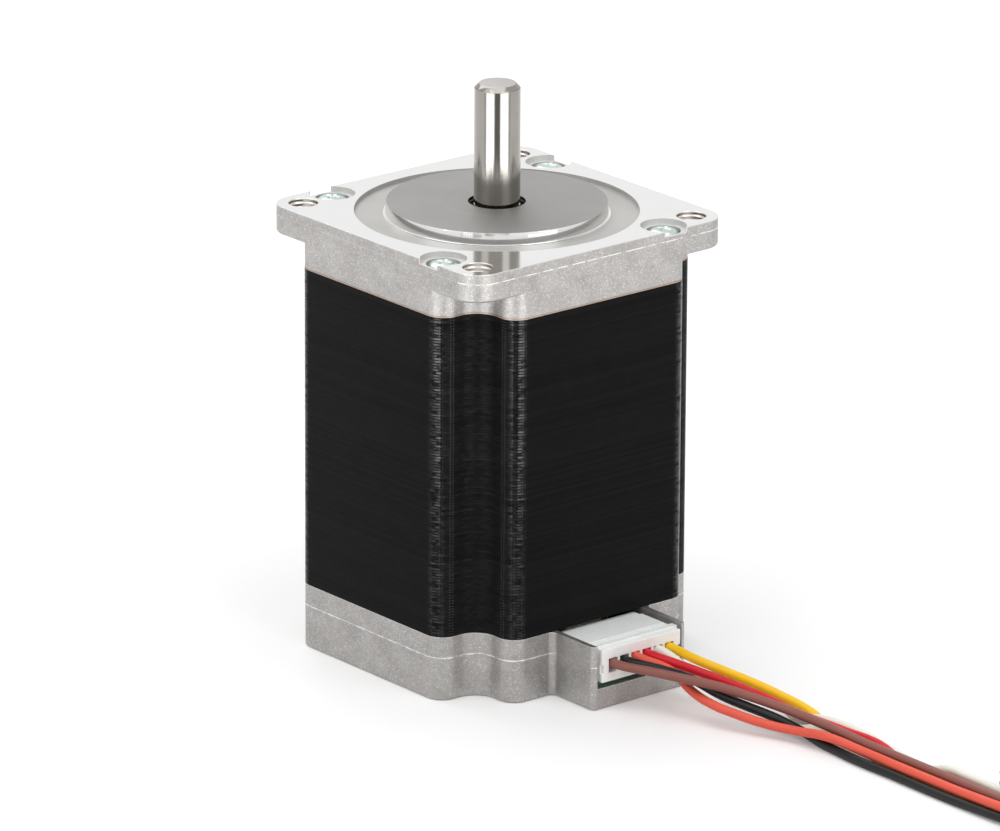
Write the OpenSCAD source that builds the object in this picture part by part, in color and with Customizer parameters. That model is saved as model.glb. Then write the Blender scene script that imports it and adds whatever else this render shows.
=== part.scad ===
// Hybrid stepper motor with a square flange, a laminated stack between two die-cast covers,
// a connector bay at the rear and six leads. Millimetres, +Z along the shaft, rear face at z = 0.

/* [Body] */
// Width across the flats of the covers and the stack
frame_w = 56.4; // [54:0.2:64]
// Distance of the mounting holes from the flange's edges
hole_edge = 4.63; // [4.4:0.01:5]
// Diameter of the mounting holes
mount_hole_d = 5.2; // [4.6:0.1:5.6]
// Radius of the round nut space in each corner
notch_r = 4.07; // [3.9:0.01:4.3]
// Radius of the round lobe that holds each tie screw
lobe_r = 3.3; // [3.1:0.05:3.6]
// Length of the laminated stack
stack_len = 57; // [40:1:110]
// Distance from the stack to the front bearing
front_gap = 1.7; // [1.5:0.1:3]
// Thickness of the mounting flange
flange_t = 5; // [4:0.1:6]

/* [Front face] */
// Width of the machined flange outside the as-cast ring, at the flats
flange_land = 3.75; // [3.5:0.05:4.5]
// Width of the as-cast ring round the pilot
ring_w = 4.95; // [4:0.05:6]
// Height of the pilot above the flange face
pilot_h = 1.5; // [1.2:0.1:2]
// Width of the turned ledge round the pilot
ledge_w = 0.45; // [0.2:0.05:0.8]
// Depth of the as-cast ring
ring_depth = 0.7; // [0.4:0.1:1]
// Diameter of the nose bore that the shaft passes through
nose_d = 9.9; // [9:0.1:12]
// Thickness of the front cover between the bearing and the pilot face
nose_t = 2.3; // [1.8:0.1:2.8]

/* [Shaft and bearings] */
// Shaft diameter
shaft_d = 8; // [8]
// Length of the shaft beyond the flange face
shaft_out = 22.5; // [15:0.5:40]
// Chamfer on the shaft's end
shaft_chamfer = 0.8; // [0.3:0.1:1]
// Diameter of the shaft inside the rotor
core_d = 10; // [9.4:0.2:11]
// Bearing outer diameter
bearing_od = 22; // [22]
// Bearing width
bearing_w = 7; // [7]
// Number of balls in each bearing
ball_count = 7; // [6:1:7]
// Ball diameter as a share of the height between the bearing's bore and rim
ball_share = 0.567; // [0.52:0.001:0.57]
// Thickness of the front adjusting shim
front_shim_t = 1; // [0.4:0.1:1.2]
// Thickness of the rear adjusting shim
rear_shim_t = 0.7; // [0.4:0.1:1]
// Height of the wave spring behind the rear bearing
spring_h = 0.6; // [0.5:0.05:0.8]

/* [Rotor and stator] */
// Depth of the winding space between the yoke and the pole shoes
slot_depth = 4.8; // [4.6:0.1:5.6]
// Number of teeth round each rotor cup
rotor_teeth = 50; // [40:2:60]
// Air gap between rotor and stator teeth
air_gap = 0.15; // [0.1:0.01:0.25]
// Width of a rotor or stator tooth at its tip
tooth_w = 0.8; // [0.6:0.05:0.9]
// Depth of a tooth
tooth_h = 0.75; // [0.6:0.05:0.9]
// Thickness of the rotor magnet
magnet_t = 4; // [2:0.5:8]
// Distance of the magnet's rim inside the rotor's rim
magnet_inset = 2; // [1.5:0.1:3]
// Width of a stator pole
pole_w = 5.6; // [5:0.1:6]
// Number of teeth on a stator pole
pole_teeth = 6; // [5:1:6]
// Thickness of the pole's shoe behind its teeth
shoe_t = 1.3; // [1:0.1:1.5]
// Radial thickness of the stator's yoke at the flats
yoke_t = 4.2; // [3.8:0.1:4.6]
// Thickness of the winding over the ends of its pole
winding_t = 3.4; // [2.5:0.1:3.6]
// Half the gap between neighbouring windings at the pole shoes
winding_gap = 1.29; // [0.8:0.01:2]

/* [Connector bay] */
// Distance that the bay stands out from the flats
bay_out = 10.7; // [10:0.1:14]
// Thickness of the bay's side walls
bay_wall = 1; // [0.8:0.1:1.05]
// Thickness of the floor of the rear cover
floor_t = 2.6; // [2:0.1:2.8]
// Height of the circuit board above the floor
board_lift = 1.25; // [0.9:0.05:2]
// Thickness of the circuit board
board_t = 1; // [0.8:0.1:1.2]

/* [Plug] */
// Pitch of the six contacts
contact_pitch = 2.5; // [2.5]
// Width of the plug's head beyond its outermost contacts
plug_side = 2.45; // [2.2:0.05:3]
// Height of the plug's head
plug_h = 5.85; // [5.5:0.05:7]
// Thickness of the plug's head in front of the header
plug_head_t = 1.35; // [1:0.05:1.8]
// Gap between the plug and the header's back wall
tongue_gap = 1.55; // [0.5:0.05:3]
// Thickness of the header's walls
header_wall = 0.6; // [0.5:0.05:0.7]

/* [Leads] */
// Outside diameter of a lead
lead_d = 1.6; // [1.6]
// Width of the strap round the coiled leads
tie_w = 2.4; // [2:0.1:3]

/* [Hidden] */

// Facets of round solids, and how far a cut runs past what it cuts
$fn = 64;
overrun = 1;
// Clearance of a sliding or pushed fit, and of parts that only must not touch
fit = 0.01;
clear = 0.1;

// Plan of the body
half_w = frame_w / 2;
hole_at = half_w - hole_edge;
notch_wall = hole_at - notch_r;
lobe_at = notch_wall - lobe_r;
lobe_out = half_w - lobe_r;
flat_angles = [0, 90, 180, 270];
ring_r = half_w - flange_land;
pilot_r = ring_r - ring_w - ledge_w;

// Connector: heights of the circuit board, the plug, its slots and leads, and the header
board_z = floor_t + board_lift;
board_top = board_z + board_t;
plug_lift = 0.05;
plug_z0 = board_top + plug_lift;
plug_z1 = plug_z0 + plug_h;
slot_w = 1.9;
slot_h = 2.5;
top_bar = 1.8;
slot_z1 = plug_z1 - top_bar;
slot_z0 = slot_z1 - slot_h;
wire_rise = 1.65;
wire_z = slot_z0 + wire_rise;
header_over = 0.25;
header_z1 = plug_z1 + header_over;

// Heights of the body
header_sunk = 0.5;
rear_h = header_z1 + header_sunk;
front_h = front_gap + bearing_w + nose_t - pilot_h;
stack_z = rear_h;
front_z = rear_h + stack_len;
face_z = front_z + front_h;
flange_z = face_z - flange_t;
pilot_z = face_z + pilot_h;
tip_z = face_z + shaft_out;

// Tie screws: shank and clearance radii, pan head, pocket and relief in the flange face
screw_r = 1.5;
screw_gap = 0.15;
screw_bite = 0.02;
screw_tip_z = 0.6;
screw_tip_gap = 0.2;
head_r = 2.75;
head_h = 2.2;
head_sunk = 0.5;
head_crown_r = 4.5;
cross_l = 3.2;
cross_w = 0.7;
cross_depth = 1.2;
pocket_r = 3;
relief_r = 4;
relief_depth = 0.9;
head_z = face_z - head_sunk - head_h;

// Space for the windings in the covers, round the boss that holds each bearing
cover_wall = 2.8;
cavity_r = half_w - cover_wall;
ring_web = 2.7;
cavity_top = face_z - ring_depth - ring_web;
boss_wall = 2.4;
boss_r = bearing_od / 2 + boss_wall;
boss_gap = 1.1;

// Bearings: axial places, races, groove, cage and shields
front_bearing_z = pilot_z - nose_t - bearing_w;
rear_bearing_z = floor_t + spring_h;
rear_boss_z = rear_bearing_z + bearing_w + 2 * clear;
shaft_r = shaft_d / 2;
core_r = core_d / 2;
bearing_r = bearing_od / 2;
bearing_h = bearing_r - shaft_r;
ball_d = ball_share * bearing_h;
ball_r = ball_d / 2;
pitch_r = (shaft_r + bearing_r) / 2;
groove_share = 0.511;
groove_r = groove_share * ball_d;
land_share = 0.2;
land = land_share * bearing_h;
inner_land_r = pitch_r - land;
outer_land_r = pitch_r + land;
cage_t = 1.2;
cage_rim = 0.44;
pocket_gap = 0.075;
cage_h = ball_d + 2 * (pocket_gap + cage_rim);
shield_t = 0.3;
seat_share = 0.1;
shield_seat = seat_share * bearing_h;
shield_gap = 0.35;
shield_in_r = inner_land_r + shield_gap;
shim_w = 1.8;
spring_w = 2;
spring_gap = 0.4;
spring_out_r = bearing_r - spring_gap;
spring_in_r = spring_out_r - spring_w;
spring_t = 0.3;
spring_waves = 3;
spring_steps = 36;

// Shaft, with a grinding undercut at the nose
shaft_tail = 0.2;
undercut_w = 0.5;
undercut_depth = 0.2;
undercut_r = shaft_r - undercut_depth;
core_z0 = rear_bearing_z + bearing_w + rear_shim_t;
core_z1 = front_bearing_z - front_shim_t;

// Stator: yoke, shoes and teeth round the bore
poles = 8;
yoke_r = half_w - yoke_t;
shoe_r = yoke_r - slot_depth;
root_r = shoe_r - shoe_t;
bore_r = root_r - tooth_h;
pole_root = 0.5;

// Rotor
rotor_r = bore_r - air_gap;
rotor_inset = 1.5;
rotor_z0 = stack_z + rotor_inset;
cup_len = (stack_len - 2 * rotor_inset - magnet_t) / 2;
magnet_z = rotor_z0 + cup_len;
cup_z = magnet_z + magnet_t;
tooth_pitch = 360 / rotor_teeth;

// Poles, windings and their end caps
tip_angle = asin(tooth_w / 2 / bore_r);
shoe_angle = (pole_teeth - 1) / 2 * tooth_pitch + tip_angle;
liner_t = 0.4;
liner_w = pole_w + 2 * liner_t;
winding_in = liner_w + 2 * clear;
winding_r0 = shoe_r + clear;
winding_out = 2 * (winding_r0 * tan(180 / poles) - winding_gap);
winding_r1 = sqrt(pow(yoke_r - clear, 2) - pow(winding_out / 2, 2));
winding_round = 3;
insulator_t = 1;
insulator_rim = 0.2;
post_t = 0.9;
post_w = 8;
post_over = 0.4;
post_h = insulator_t + winding_t + post_over;

// Connector bay
contacts = 6;
plug_half = (contacts - 1) * contact_pitch / 2 + plug_side;
header_gap = 0.5;
header_half = plug_half + header_gap;
board_gap = 0.15;
bay_in_half = header_half + board_gap;
bay_half = bay_in_half + bay_wall;
bay_reach = half_w + bay_out;
bay_fillet = 1.2;
bay_edge = 0.9;
bay_depth = 7.2;
bay_back = half_w - bay_depth;
sill_t = 1.2;
sill_x = bay_reach - sill_t;

// Circuit board
board_rim = 0.4;
board_r = cavity_r - board_rim;
board_boss_gap = 0.6;
board_in_r = boss_r + board_boss_gap;
board_on_sill = 0.3;
board_front = sill_x + board_on_sill;
ledge_t = 1.6;

// Header and plug
header_in = 0.8;
header_set = 1;
header_back = 1.6;
header_x0 = half_w - header_in;
header_x1 = bay_reach - header_set;
back_x = header_x0 + header_back;
plug_out = 0.4;
plug_x1 = bay_reach + plug_out;
plug_x0 = plug_x1 - plug_head_t;
tongue_x0 = back_x + tongue_gap;
end_groove_w = 0.8;
end_groove_h = 1.6;
end_groove_t = 0.7;
pin_w = 0.64;
pin_gap = 0.03;
pin_back = 1.2;
pin_tail_x = header_x0 - pin_back;
pin_tail_gap = 0.4;
pin_tail_z = floor_t + pin_tail_gap;
pin_tip = 1.5;
barrel_l = 0.8;
contact_w = 1.6;
contact_inset = 0.7;
wire_set = 1.1;
wire_x = bay_reach - wire_set;

// Lead routes: distance of each point from the contacts, then y and z of each lead at those points
route_run = [0, 3.2, 8.2, 13.2, 18.2, 23.2, 28.2, 33.2, 40.2, 48.2, 57.2, 65.2, 68.2];
route_x = [for (run = route_run) wire_x + run];
brown_yz = [[-6.25, wire_z], [-6.25, wire_z], [-3.9, 7.9], [-1, 7.4], [2.6, 6.6], [5.8, 5.4], [8, 4.5],
            [9.3, 3.9], [10, 3.4], [10.7, 2.8], [10.9, 2.7], [10.9, 2.7], [10.9, 2.7]];
black_yz = [[-3.75, wire_z], [-3.75, wire_z], [-0.8, 7.4], [1.3, 6.7], [3.6, 4.7], [5.5, 3.6], [7.2, 2.7],
            [8.7, 1.4], [8.3, 0.8], [7.8, 0.8], [7.9, 0.8], [7.8, 0.8], [7.8, 0.8]];
orange_yz = [[-1.25, wire_z], [-1.25, wire_z], [1.2, 6.7], [1.3, 4.6], [1.2, 3.8], [2.6, 3], [4.6, 2.3],
             [6.6, 2.1], [7.9, 2.7], [9.1, 2.1], [9, 2.1], [9, 2.1], [9, 2.1]];
red_yz = [[1.25, wire_z], [1.25, wire_z], [3.3, 7.3], [5.7, 6.2], [8.2, 4.9], [10.1, 3.8], [10.7, 3.1],
          [10.9, 3.1], [12, 2.7], [12.5, 2.6], [12.1, 0.8], [12.1, 0.8], [12.1, 0.8]];
white_yz = [[3.75, wire_z], [3.75, wire_z], [5.9, 5.6], [9.8, 4.8], [12.5, 3.3], [13.5, 1.7], [12.2, 1.3],
            [12.7, 2.7], [13.9, 2.6], [14.3, 1.6], [13.9, 0.8], [13.9, 2.6], [13.9, 2.6]];
yellow_yz = [[6.25, wire_z], [6.25, wire_z], [6.6, 7.6], [8.6, 6.5], [11.3, 5], [13.3, 3.6], [14.3, 2.5],
             [14.5, 1.1], [13.6, 0.8], [11.2, 0.8], [10.1, 0.8], [10.1, 0.8], [10.1, 0.8]];
lead_r = lead_d / 2;
lead_sides = 8;

// Coil of the leads: three side by side and two high, spiralling in, up a layer and out again
coil_run = 94.8;
coil_x = wire_x + coil_run;
coil_y = 26.9;
coil_in_r = 7.6;
coil_pitch = 7.4;
coil_half_turns = 1.25;
coil_soft_turns = 0.12;
coil_climb_turns = 0.25;
coil_side = 1.95;
coil_rise = 1.8;
coil_steps = 24;
coil_sides = 6;
coil_start_turn = -0.25;
lead_straight = 2;
tail_l = 9;
layer_rise = 2 * coil_rise;
// Turns of the leads that lie outermost, in the middle and innermost
outer_turns = 2.25;
middle_turns = 2.5;
inner_turns = 2.75;
tin_r = 0.45;
tin_l = 6;
tie_t = 0.4;
tie_gap = 0.3;
tie_turn = 0.75;
tie_lock = 1.6;
coil_z = tie_t + tie_gap / 2 + lead_r;

// Points of a lead's free stretch
function route(yz) = [for (i = [0:len(route_x) - 1]) [route_x[i], yz[i][0], yz[i][1]]];

// Radius of the coil's middle lead after t turns, and the height that both layers share
function coil_r(t) = coil_in_r
    + coil_pitch * (sqrt(pow(t - coil_half_turns, 2) + pow(coil_soft_turns, 2)) - coil_soft_turns);
function climbed(t) = min(1, max(0, (t - coil_half_turns + coil_climb_turns) / (2 * coil_climb_turns)));
function smooth(k) = k * k * (3 - 2 * k);
function coil_point(t, side, row) =
    let (r = coil_r(t) + side * coil_side, a = 360 * (t + coil_start_turn))
    [coil_x + r * cos(a), coil_y + r * sin(a), coil_z + row * coil_rise + layer_rise * smooth(climbed(t))];
function tail_way(turns) = let (a = 360 * (turns + coil_start_turn)) [-sin(a), cos(a), 0];

// Points of a lead's coil, from the end of its free stretch to its cut end
function coil_path(yz, side, row, turns) =
    let (last = route(yz)[len(route_x) - 1],
         wound = [for (i = [0:round(turns * coil_steps)]) coil_point(i / coil_steps, side, row)])
    concat([last, last + [lead_straight, 0, 0]], wound,
           [wound[len(wound) - 1] + tail_l * tail_way(turns)]);

function unit(v) = v / norm(v);
// Direction of a path at point i, level and square to x or y at its two ends
function heading(p, i) = unit(i == 0 ? p[1] - p[0] : i == len(p) - 1 ? p[i] - p[i - 1] : p[i + 1] - p[i - 1]);
function ring(p, i, r, sides) =
    let (t = heading(p, i), s = unit(cross(t, [0, 0, 1])), u = cross(s, t))
    [for (k = [0:sides - 1]) let (a = 360 * (k + 0.5) / sides) p[i] + r * (cos(a) * s + sin(a) * u)];

// Closed tube along a path, in triangles
module tube(p, r, sides) {
    n = len(p);
    points = [for (i = [0:n - 1]) each ring(p, i, r, sides)];
    skin = [for (i = [0:n - 2], k = [0:sides - 1]) let (a = i * sides + k, b = i * sides + (k + 1) % sides)
            each [[a, b, b + sides], [a, b + sides, a + sides]]];
    start = [for (k = [sides - 1:-1:0]) k];
    end = [for (k = [0:sides - 1]) (n - 1) * sides + k];
    polyhedron(points, concat([start, end], skin));
}

// Least gap of a coiled lead to itself, between points more than half a turn apart
function self_gap(p) = min([for (i = [0:len(p) - 1], j = [i + coil_steps / 2:len(p) - 1])
                            norm(p[i] - p[j])]) - lead_d;

module at_screws() {
    for (a = flat_angles) rotate(a) translate([lobe_at, -lobe_out]) children();
}

module at_mount_holes() {
    for (x = [-1, 1], y = [-1, 1]) translate([x * hole_at, y * hole_at]) children();
}

module rounded(w, h, r) {
    square([w - 2 * r, h], center = true);
    square([w, h - 2 * r], center = true);
    for (x = [-1, 1], y = [-1, 1]) translate([x * (w / 2 - r), y * (h / 2 - r)]) circle(r);
}

module annulus(outer, inner) {
    difference() {
        circle(outer);
        circle(inner);
    }
}

// Plan of covers and stack: flats, a lobe at each flat's end and a round notch in each corner
module body_plan() {
    difference() {
        union() {
            square([frame_w, 2 * lobe_at], center = true);
            square([2 * lobe_at, frame_w], center = true);
            square([2 * notch_wall, 2 * lobe_out], center = true);
            square([2 * lobe_out, 2 * notch_wall], center = true);
            square([2 * hole_at, 2 * hole_at], center = true);
            for (a = flat_angles, s = [-1, 1]) rotate(a) translate([s * lobe_at, lobe_out]) circle(lobe_r);
        }
        at_mount_holes() circle(notch_r);
    }
}

// Each winding cavity is a ring between the bearing boss and the cover's wall
module cavity(z0, z1) {
    translate([0, 0, z0]) linear_extrude(z1 - z0) annulus(cavity_r, boss_r);
}

module screw_holes(z0, z1, r) {
    translate([0, 0, z0]) at_screws() cylinder(h = z1 - z0, r = r);
}

module front_cover() {
    boss_z = front_z + boss_gap;
    color("silver") difference() {
        union() {
            translate([0, 0, front_z]) linear_extrude(flange_z - front_z) body_plan();
            translate([0, 0, flange_z]) linear_extrude(flange_t) rounded(frame_w, frame_w, hole_edge);
            translate([0, 0, face_z]) cylinder(h = pilot_h, r = pilot_r, $fn = 128);
        }
        translate([0, 0, face_z - ring_depth])
            linear_extrude(ring_depth + overrun) annulus(ring_r, pilot_r + ledge_w);
        cavity(front_z - overrun, cavity_top);
        translate([0, 0, front_z - overrun]) cylinder(h = boss_z - front_z + overrun, r = boss_r + clear);
        translate([0, 0, front_z]) cylinder(h = front_bearing_z + bearing_w - front_z, r = bearing_r + fit);
        translate([0, 0, front_z]) cylinder(h = pilot_z - front_z + overrun, d = nose_d);
        translate([0, 0, flange_z - overrun])
            at_mount_holes() cylinder(h = flange_t + 2 * overrun, d = mount_hole_d);
        screw_holes(front_z - overrun, face_z, screw_r + screw_gap);
        screw_holes(head_z, face_z + overrun, pocket_r);
        screw_holes(face_z - relief_depth, face_z + overrun, relief_r);
    }
}

module bay_plan() {
    translate([bay_reach - bay_edge, bay_half - bay_edge]) circle(bay_edge);
    translate([bay_reach - bay_edge, bay_edge - bay_half]) circle(bay_edge);
    translate([0, -bay_half]) square([bay_reach - bay_edge, 2 * bay_half]);
    translate([0, bay_edge - bay_half]) square([bay_reach, 2 * (bay_half - bay_edge)]);
    for (s = [0, 1]) mirror([0, s]) difference() {
        translate([0, bay_half - overrun]) square([half_w + bay_fillet, bay_fillet + overrun]);
        translate([half_w + bay_fillet, bay_half + bay_fillet]) circle(bay_fillet);
    }
}

module rear_cover() {
    color("silver") difference() {
        linear_extrude(rear_h) union() {
            body_plan();
            bay_plan();
        }
        cavity(floor_t, rear_h + overrun);
        translate([0, 0, rear_boss_z]) cylinder(h = rear_h - rear_boss_z + overrun, r = boss_r + clear);
        translate([0, 0, floor_t]) cylinder(h = rear_h, r = bearing_r + fit);
        translate([bay_back, -bay_in_half, floor_t])
            cube([sill_x - bay_back, 2 * bay_in_half, rear_h - floor_t + overrun]);
        translate([sill_x - overrun, -bay_in_half, board_z])
            cube([bay_reach - sill_x + 2 * overrun, 2 * bay_in_half, rear_h - board_z + overrun]);
        screw_holes(screw_tip_z - screw_tip_gap, rear_h + overrun, screw_r + screw_bite);
    }
    // Ledge that carries the rim of the circuit board, open towards the bay
    color("silver") translate([0, 0, floor_t]) linear_extrude(board_z - floor_t) difference() {
        annulus(cavity_r + overrun, cavity_r - ledge_t);
        translate([0, -bay_in_half]) square([frame_w, 2 * bay_in_half]);
    }
}

module tie_screws() {
    color("lightgray") at_screws() {
        translate([0, 0, screw_tip_z]) cylinder(h = head_z - screw_tip_z, r = screw_r);
        translate([0, 0, head_z]) difference() {
            intersection() {
                cylinder(h = head_h, r = head_r);
                translate([0, 0, head_h - head_crown_r]) sphere(head_crown_r);
            }
            for (a = [0, 90]) rotate(a) translate([-cross_l / 2, -cross_w / 2, head_h - cross_depth])
                cube([cross_l, cross_w, cross_depth + overrun]);
        }
    }
}

// Tooth tips at radius tip and gaps at radius root, for count teeth centred on angle 0
function toothed(count, tip, root) = let (half = asin(tooth_w / 2 / tip), wide = asin(tooth_w / 2 / root))
    [for (i = [0:count - 1], k = [[root, -wide], [tip, -half], [tip, half], [root, wide]])
        let (a = (i - (count - 1) / 2) * tooth_pitch + k[1]) k[0] * [cos(a), sin(a)]];

function polar(r, a) = r * [cos(a), sin(a)];

// One pole: a straight body from the yoke, widening to a shoe with teeth round the bore
module pole_plan() {
    root_x = yoke_r + pole_root;
    neck_x = sqrt(pow(shoe_r, 2) - pow(pole_w / 2, 2));
    teeth = toothed(pole_teeth, bore_r, root_r);
    face = [for (i = [len(teeth) - 2:-1:1]) teeth[i]];
    polygon(concat([[root_x, pole_w / 2], [neck_x, pole_w / 2], polar(shoe_r, shoe_angle - tip_angle)], face,
                   [polar(shoe_r, tip_angle - shoe_angle), [neck_x, -pole_w / 2], [root_x, -pole_w / 2]]));
}

module stator_stack() {
    color("dimgray") translate([0, 0, stack_z]) linear_extrude(stack_len) difference() {
        union() {
            difference() {
                body_plan();
                circle(yoke_r);
            }
            for (i = [0:poles - 1]) rotate(360 / poles * i) pole_plan();
        }
        at_screws() circle(screw_r + screw_gap);
    }
}

// Moulded end cap: a rim on the yoke, an arm over each pole, and posts that hold the windings
module insulator() {
    color("ivory") {
        linear_extrude(insulator_t) {
            annulus(cavity_r - insulator_rim, yoke_r);
            for (i = [0:poles - 1]) rotate(360 / poles * i)
                translate([root_r, -liner_w / 2]) square([yoke_r + pole_root - root_r, liner_w]);
        }
        linear_extrude(post_h) for (i = [0:poles - 1]) rotate(360 / poles * i) {
            translate([winding_r1 + clear, -post_w / 2]) square([post_t, post_w]);
            translate([shoe_r - post_t, -post_w / 2]) square([post_t, post_w]);
        }
    }
}

module front_insulator() {
    translate([0, 0, front_z]) insulator();
}

module rear_insulator() {
    translate([0, 0, stack_z]) mirror([0, 0, 1]) insulator();
}

// Every second pole carries a winding of the same phase
module windings(first) {
    inner_l = stack_len + 2 * insulator_t;
    for (i = [first:2:poles - 1])
        rotate(360 / poles * i) translate([winding_r0, 0, stack_z + stack_len / 2]) rotate([0, 90, 0])
            linear_extrude(winding_r1 - winding_r0) difference() {
                rounded(inner_l + 2 * winding_t, winding_out, winding_round);
                square([inner_l, winding_in], center = true);
            }
}

module phase_a_coils() {
    color("peru") windings(0);
}

module phase_b_coils() {
    color("chocolate") windings(1);
}

module shaft() {
    color("gainsboro") rotate_extrude($fn = 96) polygon([
        [0, rear_bearing_z + shaft_tail], [shaft_r - shaft_chamfer / 2, rear_bearing_z + shaft_tail],
        [shaft_r, rear_bearing_z + shaft_tail + shaft_chamfer / 2], [shaft_r, core_z0],
        [core_r, core_z0], [core_r, core_z1], [shaft_r, core_z1], [shaft_r, pilot_z - undercut_w],
        [undercut_r, pilot_z - undercut_w], [undercut_r, pilot_z], [shaft_r, pilot_z],
        [shaft_r, tip_z - shaft_chamfer], [shaft_r - shaft_chamfer, tip_z], [0, tip_z]]);
}

module rotor_cup(turn) {
    color("slategray") linear_extrude(cup_len) difference() {
        rotate(turn) polygon(toothed(rotor_teeth, rotor_r, rotor_r - tooth_h));
        circle(core_r);
    }
}

module rotor_cup_front() {
    translate([0, 0, cup_z]) rotor_cup(0);
}

// The rear cup's teeth stand half a pitch behind the front cup's
module rotor_cup_rear() {
    translate([0, 0, rotor_z0]) rotor_cup(tooth_pitch / 2);
}

module rotor_magnet() {
    color("darkslategray") translate([0, 0, magnet_z])
        linear_extrude(magnet_t) annulus(rotor_r - magnet_inset, core_r);
}

module front_shim() {
    color("gold") translate([0, 0, core_z1]) linear_extrude(front_shim_t) annulus(shaft_r + shim_w, shaft_r);
}

module rear_shim() {
    color("gold") translate([0, 0, core_z0 - rear_shim_t])
        linear_extrude(rear_shim_t) annulus(shaft_r + shim_w, shaft_r);
}

// Ring washer bent into waves, pushing on the rear bearing's outer race
module wave_spring() {
    n = spring_steps;
    lift = (spring_h - spring_t) / 2;
    section = [[spring_in_r, 0], [spring_out_r, 0], [spring_out_r, spring_t], [spring_in_r, spring_t]];
    points = [for (i = [0:n - 1]) let (a = 360 * i / n, z = floor_t + lift * (1 + cos(spring_waves * a)))
              for (c = section) [c[0] * cos(a), c[0] * sin(a), z + c[1]]];
    faces = [for (i = [0:n - 1], k = [0:3]) let (a = 4 * i + k, b = 4 * i + (k + 1) % 4,
             c = 4 * ((i + 1) % n) + (k + 1) % 4, d = 4 * ((i + 1) % n) + k) each [[a, b, c], [a, c, d]]];
    color("lightsteelblue") polyhedron(points, faces);
}

module race(r0, r1) {
    rotate_extrude($fn = 96) difference() {
        translate([r0, 0]) square([r1 - r0, bearing_w]);
        translate([pitch_r, bearing_w / 2]) circle(groove_r, $fn = 48);
    }
}

module outer_race() {
    color("lightgray") difference() {
        race(outer_land_r, bearing_r);
        for (z = [-overrun, bearing_w - shield_t])
            translate([0, 0, z]) cylinder(h = shield_t + overrun, r = outer_land_r + shield_seat);
    }
}

module inner_race() {
    color("lightgray") race(shaft_r, inner_land_r);
}

module at_balls() {
    for (i = [0:ball_count - 1])
        rotate(360 / ball_count * i) translate([pitch_r, 0, bearing_w / 2]) children();
}

module balls() {
    color("white") at_balls() sphere(ball_r, $fn = 32);
}

module cage() {
    color("burlywood") difference() {
        translate([0, 0, (bearing_w - cage_h) / 2])
            linear_extrude(cage_h) annulus(pitch_r + cage_t / 2, pitch_r - cage_t / 2);
        at_balls() rotate([0, 90, 0])
            cylinder(h = cage_t + 2 * overrun, r = ball_r + pocket_gap, center = true);
    }
}

module shields() {
    color("gray") for (z = [0, bearing_w - shield_t])
        translate([0, 0, z]) linear_extrude(shield_t) annulus(outer_land_r + shield_seat - fit, shield_in_r);
}

module at_front_bearing() {
    translate([0, 0, front_bearing_z]) children();
}

module at_rear_bearing() {
    translate([0, 0, rear_bearing_z]) children();
}

function pin_y(i) = (i - (contacts - 1) / 2) * contact_pitch;

module circuit_board() {
    color("darkgreen") translate([0, 0, board_z]) linear_extrude(board_t) difference() {
        union() {
            circle(board_r);
            translate([0, -header_half]) square([board_front, 2 * header_half]);
        }
        circle(board_in_r);
        for (i = [0:contacts - 1]) translate([pin_tail_x + pin_w / 2, pin_y(i)]) circle(pin_w);
    }
}

module header_housing() {
    height = header_z1 - board_top;
    color("whitesmoke") difference() {
        translate([header_x0, -header_half, board_top])
            cube([header_x1 - header_x0, 2 * header_half, height]);
        translate([back_x, header_wall - header_half, board_top + header_wall])
            cube([header_x1 - back_x + overrun, 2 * (header_half - header_wall), height - 2 * header_wall]);
        for (i = [0:contacts - 1]) translate([header_x0 - overrun, pin_y(i) - pin_w / 2, wire_z - pin_w / 2])
            cube([header_back + 2 * overrun, pin_w, pin_w]);
    }
}

module header_pins() {
    pin_x1 = plug_x0 - pin_tip;
    color("gold") for (i = [0:contacts - 1]) translate([pin_tail_x, pin_y(i) - pin_w / 2, 0]) {
        translate([0, 0, wire_z - pin_w / 2]) cube([pin_x1 - pin_tail_x, pin_w, pin_w]);
        translate([0, 0, pin_tail_z]) cube([pin_w, pin_w, wire_z - pin_tail_z]);
    }
}

// Plug: a head that closes the header, a tongue inside it and a cavity for each contact
module plug_housing() {
    tongue_half = header_half - header_wall - clear;
    tongue_z0 = board_top + header_wall + clear;
    tongue_z1 = header_z1 - header_wall - clear;
    color("white") difference() {
        union() {
            translate([plug_x0, -plug_half, plug_z0]) cube([plug_head_t, 2 * plug_half, plug_h]);
            translate([tongue_x0, -tongue_half, tongue_z0])
                cube([plug_x0 - tongue_x0, 2 * tongue_half, tongue_z1 - tongue_z0]);
        }
        for (i = [0:contacts - 1]) translate([tongue_x0 - overrun, pin_y(i) - slot_w / 2, slot_z0])
            cube([plug_x1 - tongue_x0 + 2 * overrun, slot_w, slot_h]);
        for (s = [-1, 1]) translate([plug_x1 - end_groove_t, s * plug_half - end_groove_w / 2, slot_z0])
            cube([end_groove_t + overrun, end_groove_w, end_groove_h]);
    }
}

// Box contact round each pin, with a barrel crimped on the lead's end
module plug_contacts() {
    box_x0 = tongue_x0 + contact_inset;
    box_x1 = wire_x - barrel_l;
    bore = pin_w + 2 * pin_gap;
    color("khaki") for (i = [0:contacts - 1]) translate([0, pin_y(i), 0]) {
        difference() {
            translate([box_x0, -contact_w / 2, wire_z - contact_w / 2])
                cube([box_x1 - box_x0, contact_w, contact_w]);
            translate([box_x0 - overrun, -bore / 2, wire_z - bore / 2])
                cube([plug_x0 - box_x0, bore, bore]);
        }
        translate([box_x1, 0, wire_z]) rotate([0, 90, 0]) cylinder(h = barrel_l, r = contact_w / 2);
    }
}

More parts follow.
